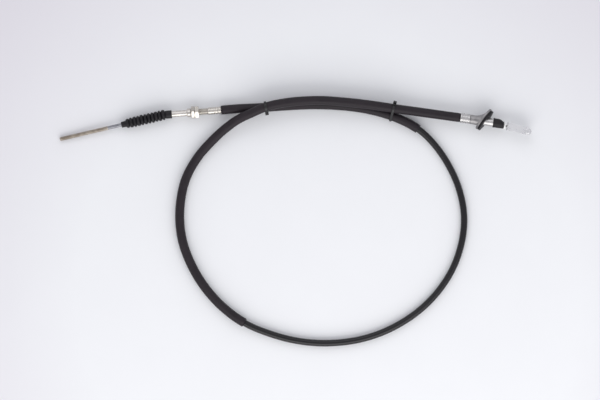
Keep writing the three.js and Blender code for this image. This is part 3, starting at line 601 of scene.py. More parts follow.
# %% Pedal ferrule
PEDAL_FERRULE_END = 14.5
cup_outline = crimped(0.3, PEDAL_FERRULE_END, 7.5, (3.5, 7.3, 11.1))
cup_outline += [(PEDAL_FERRULE_END, 5.4), (0.3, 5.4)]
pedal_ferrule = piece(
    "ferrule_pedal",
    turned(cup_outline, soft=0.4),
    fitting_axis,
    "casing",
    "pedal_ferrule",
    "bright_zinc",
)

# %% [markdown]
# ## Bulkhead flange
# The flange is a die casting. A round neck flares out and runs into an oval plate that stands oblique,
# because the bulkhead isn't square to the cable. The flare is turned about the cable's axis and cut off
# by the plate's plane. The plate is a circle stretched to an oval, extruded and rounded at its rim.

# %% Bulkhead flange
PLATE_PLACE, PLATE_THICKNESS = 35, 3
PLATE_LENGTH, PLATE_SHIFT = 36.7, 2.7
plate_tilt = math.radians(11)
plate_half_width = (14 - PLATE_THICKNESS * math.sin(plate_tilt)) / math.cos(plate_tilt)
plate_turn = Matrix.Translation((PLATE_PLACE, 0, 0)) @ Matrix.Rotation(math.radians(-29.4), 4, "Z")
plate_turn = plate_turn @ Matrix.Rotation(-plate_tilt, 4, "Y")
plate_normal = plate_turn.to_3x3() @ Vector((1, 0, 0))


def oval(bm, depth, inset):
    """Adds an oval face that stands square to the plate's normal, at a depth from its front."""
    made = bmesh.ops.create_circle(bm, cap_ends=True, radius=1, segments=96)["verts"]
    size = (PLATE_LENGTH / 2 - inset, plate_half_width - inset, 1)
    stand = Matrix.Rotation(math.radians(90), 4, "Z") @ Matrix.Rotation(math.radians(90), 4, "X")
    move = Matrix.Translation((depth, PLATE_SHIFT, 0)) @ stand
    bmesh.ops.transform(bm, verts=made, matrix=move @ Matrix.Diagonal((*size, 1)))
    return made


def oval_plate(back, thickness, inset, rim):
    bm = bmesh.new()
    oval(bm, back, inset)
    grown = bmesh.ops.extrude_face_region(bm, geom=bm.faces[:])["geom"]
    front = [vert for vert in grown if isinstance(vert, bmesh.types.BMVert)]
    bmesh.ops.translate(bm, verts=front, vec=(thickness, 0, 0))
    bmesh.ops.recalc_face_normals(bm, faces=bm.faces)
    edges = [edge for edge in bm.edges if edge.calc_face_angle(0) > 1]
    bmesh.ops.bevel(bm, geom=edges, offset=rim, segments=4, profile=0.5, affect="EDGES", material=-1)
    bm.transform(plate_turn)
    return bm


flare_outline = [(11.3, 0), (11.3, 5), (14.8, 5), (14.8, 7), (19, 7), (22.8, 7.05), (25, 7.3)]
flare_outline += [(27.5, 7.9), (30, 8.8), (32.5, 10), (35, 11.6), (38, 13.4), (45, 15), (45, 0)]
flare = trimmed(
    turned(flare_outline, soft=0.5),
    plate_turn @ Vector((-PLATE_THICKNESS / 2, 0, 0)),
    plate_normal,
)
bulkhead_flange = piece(
    "flange_bulkhead",
    gathered(flare, oval_plate(-PLATE_THICKNESS, PLATE_THICKNESS, 0, 0.7)),
    fitting_axis,
    "casing",
    "bulkhead_flange",
    "casting",
)

# %% [markdown]
# ## Bulkhead gasket
# A soft ring of black rubber seals the plate to the bulkhead. Its hole follows the tube, which passes
# through it at an angle, so the front of the hole is moved sideways from the back.

# %% Bulkhead gasket
GASKET_THICKNESS = 3.2
TUBE_RADIUS = 5.9
OUTSIDE_HOLE = 10.5  # a radius between the hole's and the rim's

bm = bmesh.new()
oval(bm, 0.3, 1)
bmesh.ops.delete(bm, geom=bm.faces[:], context="FACES_ONLY")
tube_way = plate_turn.to_3x3().inverted() @ Vector((1, 0, 0))
hole = bmesh.ops.create_circle(bm, radius=TUBE_RADIUS + 0.25, segments=64)["verts"]
bmesh.ops.rotate(bm, verts=hole, cent=(0, 0, 0), matrix=Matrix.Rotation(math.radians(90), 3, "Y"))
for vert in hole:
    on_axis = plate_turn.to_3x3().inverted() @ vert.co
    vert.co = on_axis + tube_way * (0.3 - on_axis.x) / tube_way.x
bmesh.ops.triangle_fill(bm, edges=bm.edges[:], use_beauty=True)
grown = bmesh.ops.extrude_face_region(bm, geom=bm.faces[:])["geom"]
front = [vert for vert in grown if isinstance(vert, bmesh.types.BMVert)]
to_front = tube_way * GASKET_THICKNESS / tube_way.x
bmesh.ops.translate(bm, verts=front, vec=to_front)
rim = [vert for vert in front if Vector((vert.co.y - PLATE_SHIFT, vert.co.z)).length > OUTSIDE_HOLE]
bmesh.ops.translate(bm, verts=rim, vec=(0, -to_front.y, -to_front.z))
bmesh.ops.recalc_face_normals(bm, faces=bm.faces)
edges = [edge for edge in bm.edges if edge.calc_face_angle(0) > 1]
bmesh.ops.bevel(bm, geom=edges, offset=0.4, segments=3, profile=0.5, affect="EDGES", material=-1)
bm.transform(plate_turn)
gasket = piece("gasket_rubber", bm, fitting_axis, "casing", "bulkhead_gasket", "rubber")

# %% [markdown]
# ## Pedal tube, cone boot and bush
# The bright tube carries the rope through the bulkhead. A rubber boot is pushed over its mouth, with a
# thick bead, and leans a little to follow the rope. A white nylon bush closes the boot's tip.

# %% Pedal tube
TUBE_MOUTH = 58
tube_outline = [(26, 3.5), (26, TUBE_RADIUS), (TUBE_MOUTH, TUBE_RADIUS), (TUBE_MOUTH, 3.5)]
wide_tube = trimmed(turned(tube_outline, soft=0.8), plate_turn @ Vector((0.1, 0, 0)), -plate_normal)
pedal_tube = piece("tube_pedal", wide_tube, fitting_axis, "casing", "pedal_tube", "bright_zinc")

# %% Cone boot
BOOT_LENGTH = 16.6
LEAN = math.tan(math.radians(-5.7))
boot_outline = [
    (0, 6.2),
    (0, 6.9),
    (0.6, 7.25),
    (1.8, 7.25),
    (2.5, 6.85),
    (8.4, 6.9),
    (11, 6.5),
    (14, 5.7),
    (BOOT_LENGTH - 0.6, 5.1),
    (BOOT_LENGTH, 4.8),
    (BOOT_LENGTH, 3.5),
    (12.5, 3.5),
    (8.7, 6.2),
]
bm = turned([(x + BOOT_START, r) for x, r in boot_outline], soft=0.4)
for vert in bm.verts:
    share = min(max((vert.co.x - TUBE_MOUTH) / (BOOT_START + BOOT_LENGTH - TUBE_MOUTH), 0), 1)
    vert.co.y += LEAN * (vert.co.x - BOOT_START) * share * share * (3 - 2 * share)
boot = piece("boot_rubber", bm, fitting_axis, "casing", "cone_boot", "rubber")

# %% Boot bush
BUSH_START = BOOT_LENGTH / math.cos(math.radians(5.7)) + 0.6
bush_outline = [(-3, 2), (-3, 2.9), (0, 2.9), (0, 5.4), (2, 5.4), (2, 2.6), (1.6, 2)]
bush = piece(
    "bush_nylon",
    turned([(x + BUSH_START, r) for x, r in bush_outline], soft=0.3),
    rope_axis,
    "casing",
    "boot_bush",
    "white_nylon",
)

# %% [markdown]
# ## The rope's end
# A steel rope is wires laid round a core. Six small rounds stand in a ring and are extruded a little at a
# time, and each step also turns them, which lays the strands in a helix. The stop behind the yoke is
# swaged on the rope.

# %% Rope
YOKE_START = BUSH_START + 4
WEB = YOKE_START + 2
STOP_START, STOP_END = WEB + 0.3, WEB + 8.3
ROPE_START, ROPE_END = -16, STOP_END - 1.5
LAY = 22  # millimetres for one turn of the strands

bm = bmesh.new()
bmesh.ops.create_circle(bm, cap_ends=True, radius=0.52, segments=10)
for strand in range(6):
    ring = bmesh.ops.create_circle(bm, cap_ends=True, radius=0.5, segments=10)["verts"]
    out = Matrix.Rotation(math.radians(60 * strand), 4, "Z") @ Matrix.Translation((1, 0, 0))
    bmesh.ops.transform(bm, verts=ring, matrix=out)
bm.transform(Matrix.Translation((ROPE_START, 0, 0)) @ Matrix.Rotation(math.radians(90), 4, "Y"))
steps = 44
advance = (ROPE_END - ROPE_START) / steps
lay_turn = Matrix.Rotation(math.tau * advance / LAY, 3, "X")
last = bm.faces[:]
for _ in range(steps):
    grown = bmesh.ops.extrude_face_region(bm, geom=last, use_keep_orig=False)["geom"]
    verts = [v for v in grown if isinstance(v, bmesh.types.BMVert)]
    last = [f for f in grown if isinstance(f, bmesh.types.BMFace)]
    bmesh.ops.rotate(bm, verts=verts, cent=(0, 0, 0), matrix=lay_turn)
    bmesh.ops.translate(bm, verts=verts, vec=(advance, 0, 0))
without_inner_faces(bm)
pedal_rope = piece("rope_pedal", bm, rope_axis, "rope_end", "pedal_rope", "rope", sharp=60)

# %% Rope stop
stop_outline = [(STOP_START, 1.8), (STOP_START, 2.4), (STOP_START + 0.7, 3), (STOP_START + 3, 2.9)]
stop_outline += [(STOP_START + 5, 2.9), (STOP_END - 0.7, 3), (STOP_END, 2.3), (STOP_END, 0)]
stop_outline += [(STOP_END - 1.2, 0), (STOP_END - 1.2, 1.8)]
rope_stop = piece("stop_swaged", turned(stop_outline), rope_axis, "rope_end", "rope_stop", "steel")

# %% [markdown]
# ## Pedal yoke
# The yoke is one strip of steel bent into a U. Only its outer skin is drawn: a cheek with a round end and
# a hole for the pin, a quarter bend, the web with the rope's hole, and the same again below. The fill makes
# long thin triangles, which spoil a bevel, so a limited dissolve joins the flat ones. A Solidify modifier
# then gives the sheet its thickness, and a Bevel modifier breaks its sheared edges.

# %% Pedal yoke
YOKE_HALF = 5.8
YOKE_OUT = 5.5
YOKE_SHEET = 2
YOKE_BEND = 3
PIN = YOKE_START + 37.6 - YOKE_HALF
PIN_RADIUS = 2.5


def cheek(bm, height):
    left = bm.verts.new((YOKE_START + YOKE_BEND, -YOKE_HALF, height))
    right = bm.verts.new((YOKE_START + YOKE_BEND, YOKE_HALF, height))
    far = bm.verts.new((PIN, YOKE_HALF, height))
    bend_edge = bm.edges.new((left, right))
    sides = [bend_edge, bm.edges.new((right, far))]
    spun = bmesh.ops.spin(
        bm, geom=[far], cent=(PIN, 0, height), axis=(0, 0, 1), angle=-math.pi, steps=24
    )["geom_last"]
    sides.append(bm.edges.new((spun[0], left)))
    rounded = {v for v in bm.verts if v.co.x >= PIN - 1e-4 and abs(v.co.z - height) < 1e-4}
    arc = [edge for edge in bm.edges if rounded.issuperset(edge.verts)]
    hole = bmesh.ops.create_circle(
        bm, radius=PIN_RADIUS + 0.3, segments=32, matrix=Matrix.Translation((PIN, 0, height))
    )["verts"]
    ring = {edge for vert in hole for edge in vert.link_edges}
    bmesh.ops.triangle_fill(bm, edges=list({*sides, *arc, *ring}), use_beauty=True)
    return bend_edge


def bent(bm, edge, height, angle):
    geometry = [*edge.verts, edge]
    centre = (YOKE_START + YOKE_BEND, 0, height)
    spun = bmesh.ops.spin(bm, geom=geometry, cent=centre, axis=(0, 1, 0), angle=angle, steps=8)
    return next(part for part in spun["geom_last"] if isinstance(part, bmesh.types.BMEdge))


bm = bmesh.new()
upper = bent(bm, cheek(bm, YOKE_OUT), YOKE_OUT - YOKE_BEND, -math.pi / 2)
lower = bent(bm, cheek(bm, -YOKE_OUT), YOKE_BEND - YOKE_OUT, math.pi / 2)
web = [upper, lower]
for side in (-1, 1):
    ends = [next(v for v in edge.verts if v.co.y * side > 0) for edge in (upper, lower)]
    web.append(bm.edges.new(ends))
hole = bmesh.ops.create_circle(
    bm,
    radius=1.9,
    segments=24,
    matrix=Matrix.Translation((YOKE_START, 0, 0)) @ Matrix.Rotation(math.radians(90), 4, "Y"),
)["verts"]
web += list({edge for vert in hole for edge in vert.link_edges})
bmesh.ops.triangle_fill(bm, edges=web, use_beauty=True)
bmesh.ops.remove_doubles(bm, verts=bm.verts, dist=1e-3)
bmesh.ops.dissolve_limit(bm, angle_limit=math.radians(2), verts=bm.verts[:], edges=bm.edges[:])
bmesh.ops.recalc_face_normals(bm, faces=bm.faces)
if sum(face.normal.z for face in bm.faces if face.calc_center_median().z > YOKE_OUT - 0.1) < 0:
    bmesh.ops.reverse_faces(bm, faces=bm.faces)
yoke = piece("yoke_strip", bm, rope_axis, "yoke", "pedal_yoke", "bright_zinc", sharp=40)
sheet = yoke.modifiers.new("sheet", "SOLIDIFY")
sheet.thickness = YOKE_SHEET * MM
sheet.offset = -1
edges = yoke.modifiers.new("edges", "BEVEL")
edges.width = 0.35 * MM
edges.segments = 3
edges.limit_method = "ANGLE"
edges.angle_limit = math.radians(50)
yoke.modifiers.new("shading", "WEIGHTED_NORMAL").keep_sharp = True

# %% [markdown]
# ## Bosses, pin and clip
# Each cheek is embossed round the pin. The pin has a flat head above and a groove below for the spring
# clip, which is a ring with a gap, spun through less than a full turn.

# %% Bosses
upright = Matrix.Translation((PIN, 0, 0)) @ Matrix.Rotation(math.radians(-90), 4, "Y")


def boss(side):
    low, high = YOKE_OUT - 0.2, YOKE_OUT + 0.6
    bm = turned([(low, 2.8), (low, 4.8), (high, 4.5), (high, 2.8)], soft=0.25)
    if side < 0:
        bmesh.ops.rotate(bm, verts=bm.verts, cent=(0, 0, 0), matrix=Matrix.Rotation(math.pi, 3, "Y"))
    return bm


bosses = piece(
    "yoke_bosses", gathered(boss(1), boss(-1)), rope_axis @ upright, "yoke", "pedal_yoke", "bright_zinc"
)

# %% Clevis pin
PIN_SEAT = YOKE_OUT + 0.9
CLIP_THICKNESS = 0.8
pin_outline = [
    (-PIN_SEAT - CLIP_THICKNESS - 2.4, 0),
    (-PIN_SEAT - CLIP_THICKNESS - 2.4, 2.1),
    (-PIN_SEAT - CLIP_THICKNESS - 2, PIN_RADIUS),
    (-PIN_SEAT - CLIP_THICKNESS - 0.3, PIN_RADIUS),
    (-PIN_SEAT - CLIP_THICKNESS - 0.3, 2),
    (-PIN_SEAT + 0.3, 2),
    (-PIN_SEAT + 0.3, PIN_RADIUS),
    (PIN_SEAT, PIN_RADIUS),
    (PIN_SEAT, 3.5),
    (PIN_SEAT + 1.2, 3.5),
    (PIN_SEAT + 1.6, 3.1),
    (PIN_SEAT + 1.6, 0),
]
pin = piece(
    "pin_clevis",
    turned(pin_outline, soft=0.2, steps=48),
    rope_axis @ upright,
    "yoke",
    "clevis_pin",
    "bright_zinc",
)

# %% Pin clip
bm = bmesh.new()
mouth = math.radians(40)
low, high = -PIN_SEAT - CLIP_THICKNESS, -PIN_SEAT
corners = ((2.3, low), (4.3, low), (4.3, high), (2.3, high))
section = [bm.verts.new((radius, 0, height)) for radius, height in corners]
start = bm.faces.new(section)
bmesh.ops.rotate(bm, verts=section, cent=(0, 0, 0), matrix=Matrix.Rotation(mouth, 3, "Z"))
bmesh.ops.spin(
    bm, geom=[start], cent=(0, 0, 0), axis=(0, 0, 1), angle=math.tau - 2 * mouth, steps=40
)
bmesh.ops.recalc_face_normals(bm, faces=bm.faces)
edges = [edge for edge in bm.edges if edge.calc_face_angle(0) > 1]
bmesh.ops.bevel(bm, geom=edges, offset=0.12, segments=2, profile=0.5, affect="EDGES", material=-1)
clip = piece("clip_pin", bm, rope_axis @ Matrix.Translation((PIN, 0, 0)), "yoke", "pin_clip", "steel")

# %% [markdown]
# ## Cable ties
# Two black nylon ties hold the loop where its strands run side by side. A tie is a flat band round both
# strands. Its section is spun round one strand, carried across, spun round the other and carried back. The
# head is a small block with rounded edges and the slot that the tail was pulled through.

# %% Where the ties go
TIE_SLACK, TIE_BAND, TIE_WIDTH = 0.8, 1.0, 3.6


def crossing(low, high, place, way):
    """Finds how far along the line it crosses a plane between two distances."""
    for _ in range(40):
        middle = (low + high) / 2
        if (place_at(middle) - place).dot(way) < 0:
            low = middle
        else:
            high = middle
    return low


def heading_at(distance):
    return (place_at(distance + MM) - place_at(distance - MM)).normalized()


def tie_place(at_x):
    lower = (sleeve_face, sleeve_face + RELEASE_SLEEVE)
    upper = (pedal_face - RELEASE_SLEEVE, pedal_face)
    start = Vector((at_x * MM, 0, 0))
    found = [crossing(*span, start, Vector((1, 0, 0))) for span in (lower, upper)]
    way = heading_at(found[0]) + heading_at(found[1])
    way = Vector((way.x, way.y, 0)).normalized()
    middle = (place_at(found[0]) + place_at(found[1])) / 2
    aside = Vector((0, 0, 1)).cross(way)
    strands = [place_at(crossing(*span, middle, way)) - middle for span in (lower, upper)]
    flat = [Vector((strand.dot(aside), strand.z, 0)) / MM for strand in strands]
    turn = Matrix((aside, (0, 0, 1), way)).transposed().to_4x4()
    return flat, Matrix.Translation(middle / MM) @ turn


# %% Ties
def tie(name, at_x, head_angle, node):
    (low, high), place = tie_place(at_x)
    inner = SLEEVE_DIAMETER / MM / 2 + TIE_SLACK
    across = (high - low).normalized()
    out = Vector((-across.y, across.x, 0))
    bm = bmesh.new()
    corners = [(inner, -1), (inner + TIE_BAND, -1), (inner + TIE_BAND, 1), (inner, 1)]
    section = [bm.verts.new(low + out * r + Vector((0, 0, TIE_WIDTH / 2 * side))) for r, side in corners]
    last = [bm.faces.new(section)]
    first = last[0]
    for centre, move in ((low, high - low), (high, low - high)):
        spun = bmesh.ops.spin(
            bm, geom=last, cent=centre, axis=(0, 0, 1), angle=math.pi, steps=28
        )["geom_last"]
        face = [part for part in spun if isinstance(part, bmesh.types.BMFace)]
        grown = bmesh.ops.extrude_face_region(bm, geom=face)["geom"]
        bmesh.ops.delete(bm, geom=face, context="FACES_ONLY")
        verts = [part for part in grown if isinstance(part, bmesh.types.BMVert)]
        bmesh.ops.translate(bm, verts=verts, vec=move)
        last = [part for part in grown if isinstance(part, bmesh.types.BMFace)]
    bmesh.ops.delete(bm, geom=[face for face in (first, *last) if face.is_valid], context="FACES_ONLY")
    bmesh.ops.remove_doubles(bm, verts=bm.verts, dist=1e-3)
    without_inner_faces(bm)
    edges = [edge for edge in bm.edges if edge.calc_face_angle(0) > 1]
    bmesh.ops.bevel(bm, geom=edges, offset=0.25, segments=2, profile=0.5, affect="EDGES", material=-1)

    head = bmesh.new()
    block = bmesh.ops.create_cube(head, size=1)["verts"]
    bmesh.ops.transform(head, verts=block, matrix=Matrix.Diagonal((4.4, 5.6, 5, 1)))
    slot_face = [face for face in head.faces if face.normal.y > 0.9]
    bmesh.ops.inset_region(head, faces=slot_face, thickness=1.1)
    bmesh.ops.translate(head, verts=slot_face[0].verts[:], vec=(0, -1.2, 0))
    edges = [edge for edge in head.edges if edge.calc_face_angle(0) > 1]
    bmesh.ops.bevel(head, geom=edges, offset=0.4, segments=3, profile=0.5, affect="EDGES", material=-1)

    tail = bmesh.new()
    end = bmesh.ops.create_cube(tail, size=1)["verts"]
    bmesh.ops.transform(tail, verts=end, matrix=Matrix.Diagonal((TIE_BAND, 4.4, TIE_WIDTH, 1)))
    bmesh.ops.translate(tail, verts=end, vec=(0, 2.8, 0))
    edges = tail.edges[:]
    bmesh.ops.bevel(tail, geom=edges, offset=0.2, segments=2, profile=0.5, affect="EDGES", material=-1)
    block = gathered(head, tail)
    outwards = Matrix.Translation((inner + 4.4 / 2 + TIE_BAND / 4, 0, 0))
    aim = Matrix.Rotation(math.radians(head_angle), 4, "Z")
    block.transform(Matrix.Translation(high) @ aim @ outwards)
    return piece(name, gathered(bm, block), place, "casing", node, "black_nylon")


ties = [
    tie("tie_release_side", -44, 195, "release_tie"),
    tie("tie_pedal_side", 145.5, 35, "pedal_tie"),
]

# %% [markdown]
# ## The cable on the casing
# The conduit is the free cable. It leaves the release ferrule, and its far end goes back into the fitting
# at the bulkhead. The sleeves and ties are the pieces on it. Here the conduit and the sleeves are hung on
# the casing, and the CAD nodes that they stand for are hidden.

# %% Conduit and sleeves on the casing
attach(conduit, "casing")
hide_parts("conduit_jacket")
for sleeve, node in zip(sleeves, ("release_sleeve", "pedal_sleeve")):
    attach(sleeve, "casing")
    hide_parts(node)

# %% [markdown]
# ## Shared effects
# Some effects are wanted on many finishes, so each is a node group that is built once. Mottle mixes two
# colours by a coarse and a fine noise, and also gives the mask. Grain is a fine height for the surface's
# tooth. Turning marks are the fine rings that a lathe leaves, and they need a coordinate with X along the
# part.

# %% Node groups
def node_group(name, inputs, outputs):
    group = bpy.data.node_groups.new(name, "ShaderNodeTree")
    for label, kind, value in inputs:
        socket = group.interface.new_socket(name=label, in_out="INPUT", socket_type=kind)
        if value is not None:
            socket.default_value = value
    for label, kind in outputs:
        group.interface.new_socket(name=label, in_out="OUTPUT", socket_type=kind)
    return group, group.nodes.new("NodeGroupInput"), group.nodes.new("NodeGroupOutput")


def noise(nodes, links, vector, scale, detail):
    made = nodes.new("ShaderNodeTexNoise")
    made.inputs["Detail"].default_value = detail
    made.inputs["Roughness"].default_value = 0.6
    links.new(vector, made.inputs["Vector"])
    links.new(scale, made.inputs["Scale"])
    return made.outputs["Fac"]


def math_node(nodes, links, operation, a, b):
    made = nodes.new("ShaderNodeMath")
    made.operation = operation
    for value, socket in zip((a, b), made.inputs):
        if isinstance(value, (int, float)):
            socket.default_value = value
        else:
            links.new(value, socket)
    return made.outputs["Value"]


COLOR, FLOAT, VECTOR = "NodeSocketColor", "NodeSocketFloat", "NodeSocketVector"

mottle, given, out = node_group(
    "Mottle",
    [
        ("Vector", VECTOR, None),
        ("Scale", FLOAT, 60),
        ("Low", COLOR, (0, 0, 0, 1)),
        ("High", COLOR, (1, 1, 1, 1)),
    ],
    [("Color", COLOR), ("Mask", FLOAT)],
)
nodes, links = mottle.nodes, mottle.links
coarse = noise(nodes, links, given.outputs["Vector"], given.outputs["Scale"], 3)
finer = math_node(nodes, links, "MULTIPLY", given.outputs["Scale"], 9)
fine = noise(nodes, links, given.outputs["Vector"], finer, 2)
mask = math_node(nodes, links, "MULTIPLY_ADD", coarse, 0.7)
mask.node.inputs[2].default_value = 0
weighted = math_node(nodes, links, "MULTIPLY", fine, 0.3)
total = math_node(nodes, links, "ADD", mask, weighted)
spread = nodes.new("ShaderNodeMapRange")
spread.inputs["From Min"].default_value = 0.35
spread.inputs["From Max"].default_value = 0.65
links.new(total, spread.inputs["Value"])
blend = nodes.new("ShaderNodeMix")
blend.data_type = "RGBA"
links.new(spread.outputs["Result"], blend.inputs["Factor"])
links.new(given.outputs["Low"], blend.inputs["A"])
links.new(given.outputs["High"], blend.inputs["B"])
links.new(blend.outputs["Result"], out.inputs["Color"])
links.new(spread.outputs["Result"], out.inputs["Mask"])

# %% Grain and turning marks
grain, given, out = node_group(
    "Grain", [("Vector", VECTOR, None), ("Scale", FLOAT, 900)], [("Height", FLOAT)]
)
height = noise(grain.nodes, grain.links, given.outputs["Vector"], given.outputs["Scale"], 4)
grain.links.new(height, out.inputs["Height"])

marks, given, out = node_group(
    "Turning marks", [("Vector", VECTOR, None), ("Scale", FLOAT, 400)], [("Height", FLOAT)]
)
nodes, links = marks.nodes, marks.links
narrow = nodes.new("ShaderNodeVectorMath")
narrow.operation = "MULTIPLY"
narrow.inputs[1].default_value = (1, 0.02, 0.02)
links.new(given.outputs["Vector"], narrow.inputs[0])
height = noise(nodes, links, narrow.outputs["Vector"], given.outputs["Scale"], 3)
links.new(height, out.inputs["Height"])
print("groups:", ", ".join(group.name for group in bpy.data.node_groups))

# %% [markdown]
# ## Finishes
# Every finish starts in the same way. Mottle gives its colour and drives its roughness between two
# levels, and a height gives its surface. What differs is set by the values, and by what the height is:
# grain on castings and rubber, turning marks on lathe work. The coordinates are turned so that X runs
# along the part, whichever way it points.

# %% Finish helper
def finish(
    name,
    low,
    high,
    roughness,
    metallic=0.0,
    scale=60,
    height=None,
    heading=0,
    bump=0.1,
    distance=0.1,
    gloss=0.5,
):
    material = bpy.data.materials.new(name)
    material.use_nodes = True
    nodes, links = material.node_tree.nodes, material.node_tree.links
    shader = nodes["Principled BSDF"]
    shader.inputs["Metallic"].default_value = metallic
    shader.inputs["Specular IOR Level"].default_value = gloss
    place = nodes.new("ShaderNodeTexCoord")
    turn = nodes.new("ShaderNodeMapping")
    turn.inputs["Rotation"].default_value = (0, 0, -math.radians(heading))
    links.new(place.outputs["Object"], turn.inputs["Vector"])
    colour = nodes.new("ShaderNodeGroup")
    colour.node_tree = mottle
    colour.inputs["Scale"].default_value = scale
    colour.inputs["Low"].default_value = (*low, 1)
    colour.inputs["High"].default_value = (*high, 1)
    links.new(turn.outputs["Vector"], colour.inputs["Vector"])
    links.new(colour.outputs["Color"], shader.inputs["Base Color"])
    levels = nodes.new("ShaderNodeMapRange")
    levels.inputs["To Min"].default_value, levels.inputs["To Max"].default_value = roughness
    links.new(colour.outputs["Mask"], levels.inputs["Value"])
    links.new(levels.outputs["Result"], shader.inputs["Roughness"])
    surface = nodes.new("ShaderNodeBump")
    surface.inputs["Strength"].default_value = bump
    surface.inputs["Distance"].default_value = distance * MM
    links.new(surface.outputs["Normal"], shader.inputs["Normal"])
    if height:
        tooth = nodes.new("ShaderNodeGroup")
        tooth.node_tree, tooth.inputs["Scale"].default_value = height
        links.new(turn.outputs["Vector"], tooth.inputs["Vector"])
        links.new(tooth.outputs["Height"], surface.inputs["Height"])
    return material


def wear(material, *objects):
    for thing in objects:
        thing.data.materials.clear()
        thing.data.materials.append(material)


# %% [markdown]
# ## Metals
# The adjuster and its nuts are nickel plated and a little warm. The rod is zinc plated with a yellow
# passivation that turns brownish where it is thick. The yoke and the tubes have bright zinc, and the
# flange is a dull grey casting.

# %% Metals
nickel = finish(
    "warm_nickel", (0.5, 0.47, 0.43), (0.66, 0.63, 0.58),
    (0.22, 0.36), 1.0, 70, (marks, 1500), 184.8, 0.15,
)
yellow = finish(
    "yellow_zinc", (0.33, 0.28, 0.23), (0.56, 0.51, 0.45),
    (0.3, 0.46), 1.0, 120, (grain, 2500), 193.1, 0.1,
)
shank_steel = finish(
    "shank_steel", (0.2, 0.2, 0.22), (0.36, 0.36, 0.38),
    (0.25, 0.4), 1.0, 110, (marks, 1500), 193.1, 0.12,
)
guide_zinc = finish(
    "guide_zinc", (0.52, 0.49, 0.45), (0.7, 0.67, 0.63),
    (0.2, 0.34), 1.0, 80, (marks, 1500), 184.8, 0.12,
)
fitting_zinc = finish(
    "fitting_zinc", (0.42, 0.41, 0.41), (0.66, 0.65, 0.64),
    (0.2, 0.36), 1.0, 90, (marks, 1500), -8.5, 0.12,
)
yoke_zinc = finish(
    "yoke_zinc", (0.77, 0.77, 0.78), (0.87, 0.87, 0.88),
    (0.22, 0.36), 1.0, 60, (grain, 1800), -14.2, 0.08,
)
cast_grey = finish(
    "cast_grey", (0.2, 0.195, 0.2), (0.38, 0.37, 0.37),
    (0.3, 0.48), 0.95, 130, (grain, 1400), -8.5, 0.35, 0.2,
)
wear(nickel, release_ferrule, adjuster, adjusting_nut, lock_nut, rope_stop, clip)
wear(yellow, rod)
wear(shank_steel, shank)
wear(guide_zinc, guide_tube)
wear(fitting_zinc, pedal_ferrule, pedal_tube)
wear(yoke_zinc, yoke, bosses, pin)
wear(cast_grey, bulkhead_flange)

# %% [markdown]
# ## Rubber, nylon and rope
# Moulded rubber is nearly black and has a soft bloom where it was handled. Nylon is smoother. The rope's
# strands are real geometry, so its finish only needs the dull grey of drawn wire.

# %% Rubber, nylon and rope
bellows_black = finish(
    "bellows_black", (0.004, 0.0035, 0.005), (0.012, 0.01, 0.013),
    (0.36, 0.55), 0, 160, (grain, 1600), 0, 0.2, gloss=0.3,
)
seal_black = finish(
    "seal_black", (0.005, 0.0045, 0.006), (0.014, 0.012, 0.015),
    (0.4, 0.6), 0, 200, (grain, 1800), 0, 0.25, gloss=0.3,
)
tie_black = finish(
    "tie_black", (0.004, 0.004, 0.005), (0.009, 0.009, 0.01), (0.3, 0.45), 0, 220, (grain, 2600)
)
bush_white = finish(
    "bush_white", (0.78, 0.78, 0.76), (0.88, 0.88, 0.87), (0.35, 0.5), 0, 150, (grain, 2000)
)
liner_white = finish(
    "liner_white", (0.66, 0.64, 0.58), (0.74, 0.72, 0.66), (0.25, 0.35), 0, 100, (grain, 900)
)
wire_grey = finish(
    "wire_grey", (0.28, 0.28, 0.28), (0.42, 0.42, 0.42), (0.35, 0.5), 1.0, 300, (grain, 3000)
)
wear(bellows_black, bellows)
wear(seal_black, gasket, boot)
wear(tie_black, *ties)
wear(bush_white, bush)
wear(wire_grey, pedal_rope)
for name, material in (("armour_coil", nickel), ("liner", liner_white), ("inner_rope", wire_grey)):
    wear(material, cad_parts[name])

# %% [markdown]
# ## Conduit and sleeve finishes
# The conduit's plastic is extruded over a wound strip, so fine ribs show through its gloss, one for each
# turn of the strip. A sine of the distance along the cable gives them. The sleeves are matt, with a faint
# tooth.

# %% Conduit finish
RIB = 2.7 * MM

gloss_black = finish(
    "conduit_gloss", (0.003, 0.0025, 0.0035), (0.006, 0.005, 0.007),
    (0.12, 0.2), 0, 40, None, 0, 0.4, 0.2, gloss=0.42,
)
nodes, links = gloss_black.node_tree.nodes, gloss_black.node_tree.links
along = nodes.new("ShaderNodeAttribute")
along.attribute_name = "along"
phase = math_node(nodes, links, "MULTIPLY", along.outputs["Fac"], math.tau / RIB)
wave = math_node(nodes, links, "SINE", phase, 0)
surface = next(node for node in nodes if node.bl_idname == "ShaderNodeBump")
links.new(wave, surface.inputs["Height"])
wear(gloss_black, conduit)

# %% Sleeve finish
sleeve_matt = finish(
    "sleeve_matt", (0.01, 0.0065, 0.0095), (0.02, 0.0145, 0.019),
    (0.45, 0.62), 0, 35, (grain, 700), 0, 0.3, 0.15, gloss=0.3,
)
wear(sleeve_matt, *sleeves)
print("finishes:", len(bpy.data.materials))
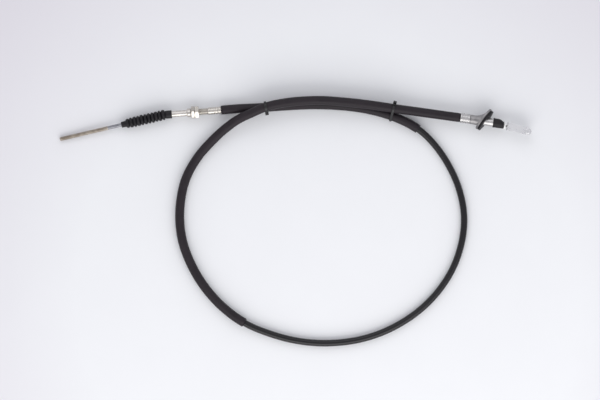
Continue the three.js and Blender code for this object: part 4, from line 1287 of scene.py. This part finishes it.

# %% [markdown]
# ## Bench and light
# The bench is plain and pale, with painted shade that makes it a little darker away from the cable. A long
# soft light stands at the near side of the loop, which puts the thin highlights on the near side of the
# tubes. A weaker one at the far side lifts the backs of the metal parts, and the gap between them shows as a
# dark band in turned metal. The sky fills the shadows.

# %% Bench
bm = bmesh.new()
bmesh.ops.create_grid(bm, x_segments=1, y_segments=1, size=6)
mesh = bpy.data.meshes.new("bench")
bm.to_mesh(mesh)
bm.free()
bench = bpy.data.objects.new("bench", mesh)
bench.location.z = -0.0004
bpy.context.scene.collection.objects.link(bench)
pale = finish("pale_bench", (0.8, 0.81, 0.825), (0.82, 0.83, 0.845), (0.7, 0.8), 0, 1.5)
nodes, links = pale.node_tree.nodes, pale.node_tree.links
# Painted shade: the bench's colour darkens to a dull lilac with distance from the cable, a painted falloff
# of light towards the corners.
spot = nodes.new("ShaderNodeTexCoord")
away = nodes.new("ShaderNodeVectorMath")
away.operation = "DISTANCE"
away.inputs[1].default_value = (0.05, -0.25, 0)
links.new(spot.outputs["Object"], away.inputs[0])
painted_shade_range = nodes.new("ShaderNodeMapRange")
painted_shade_range.inputs["From Min"].default_value, painted_shade_range.inputs["From Max"].default_value = 0.38, 0.75
links.new(away.outputs["Value"], painted_shade_range.inputs["Value"])
painted_shade_mix = nodes.new("ShaderNodeMix")
painted_shade_mix.data_type = "RGBA"
painted_shade_mix.inputs["B"].default_value = (0.67, 0.64, 0.69, 1)
links.new(painted_shade_range.outputs["Result"], painted_shade_mix.inputs["Factor"])
base = nodes["Principled BSDF"].inputs["Base Color"]
links.new(base.links[0].from_socket, painted_shade_mix.inputs["A"])
links.new(painted_shade_mix.outputs["Result"], base)
wear(pale, bench)

# %% Lights
def soft_light(name, place, size, power, colour=(1, 1, 1)):
    data = bpy.data.lights.new(name, "AREA")
    data.shape = "RECTANGLE"
    data.size, data.size_y = size
    data.energy = power
    data.color = colour
    lamp = bpy.data.objects.new(name, data)
    lamp.location = place
    lamp.rotation_euler = (Vector((0, -0.12, 0)) - lamp.location).to_track_quat("-Z", "Y").to_euler()
    lamp.visible_camera = False
    bpy.context.scene.collection.objects.link(lamp)
    return lamp


soft_light("near_side", Vector((0.2, -1.6, 1.15)), (2.8, 1.5), 24, (1, 0.99, 0.97))
soft_light("far_side", Vector((-0.2, 1.7, 1.7)), (2.8, 1.2), 9, (0.97, 0.98, 1))

world = bpy.data.worlds.new("sky")
bpy.context.scene.world = world
world.use_nodes = True
world.node_tree.nodes["Background"].inputs["Color"].default_value = (0.95, 0.95, 1, 1)
world.node_tree.nodes["Background"].inputs["Strength"].default_value = 0.74
bpy.context.scene.view_settings.view_transform = "Standard"
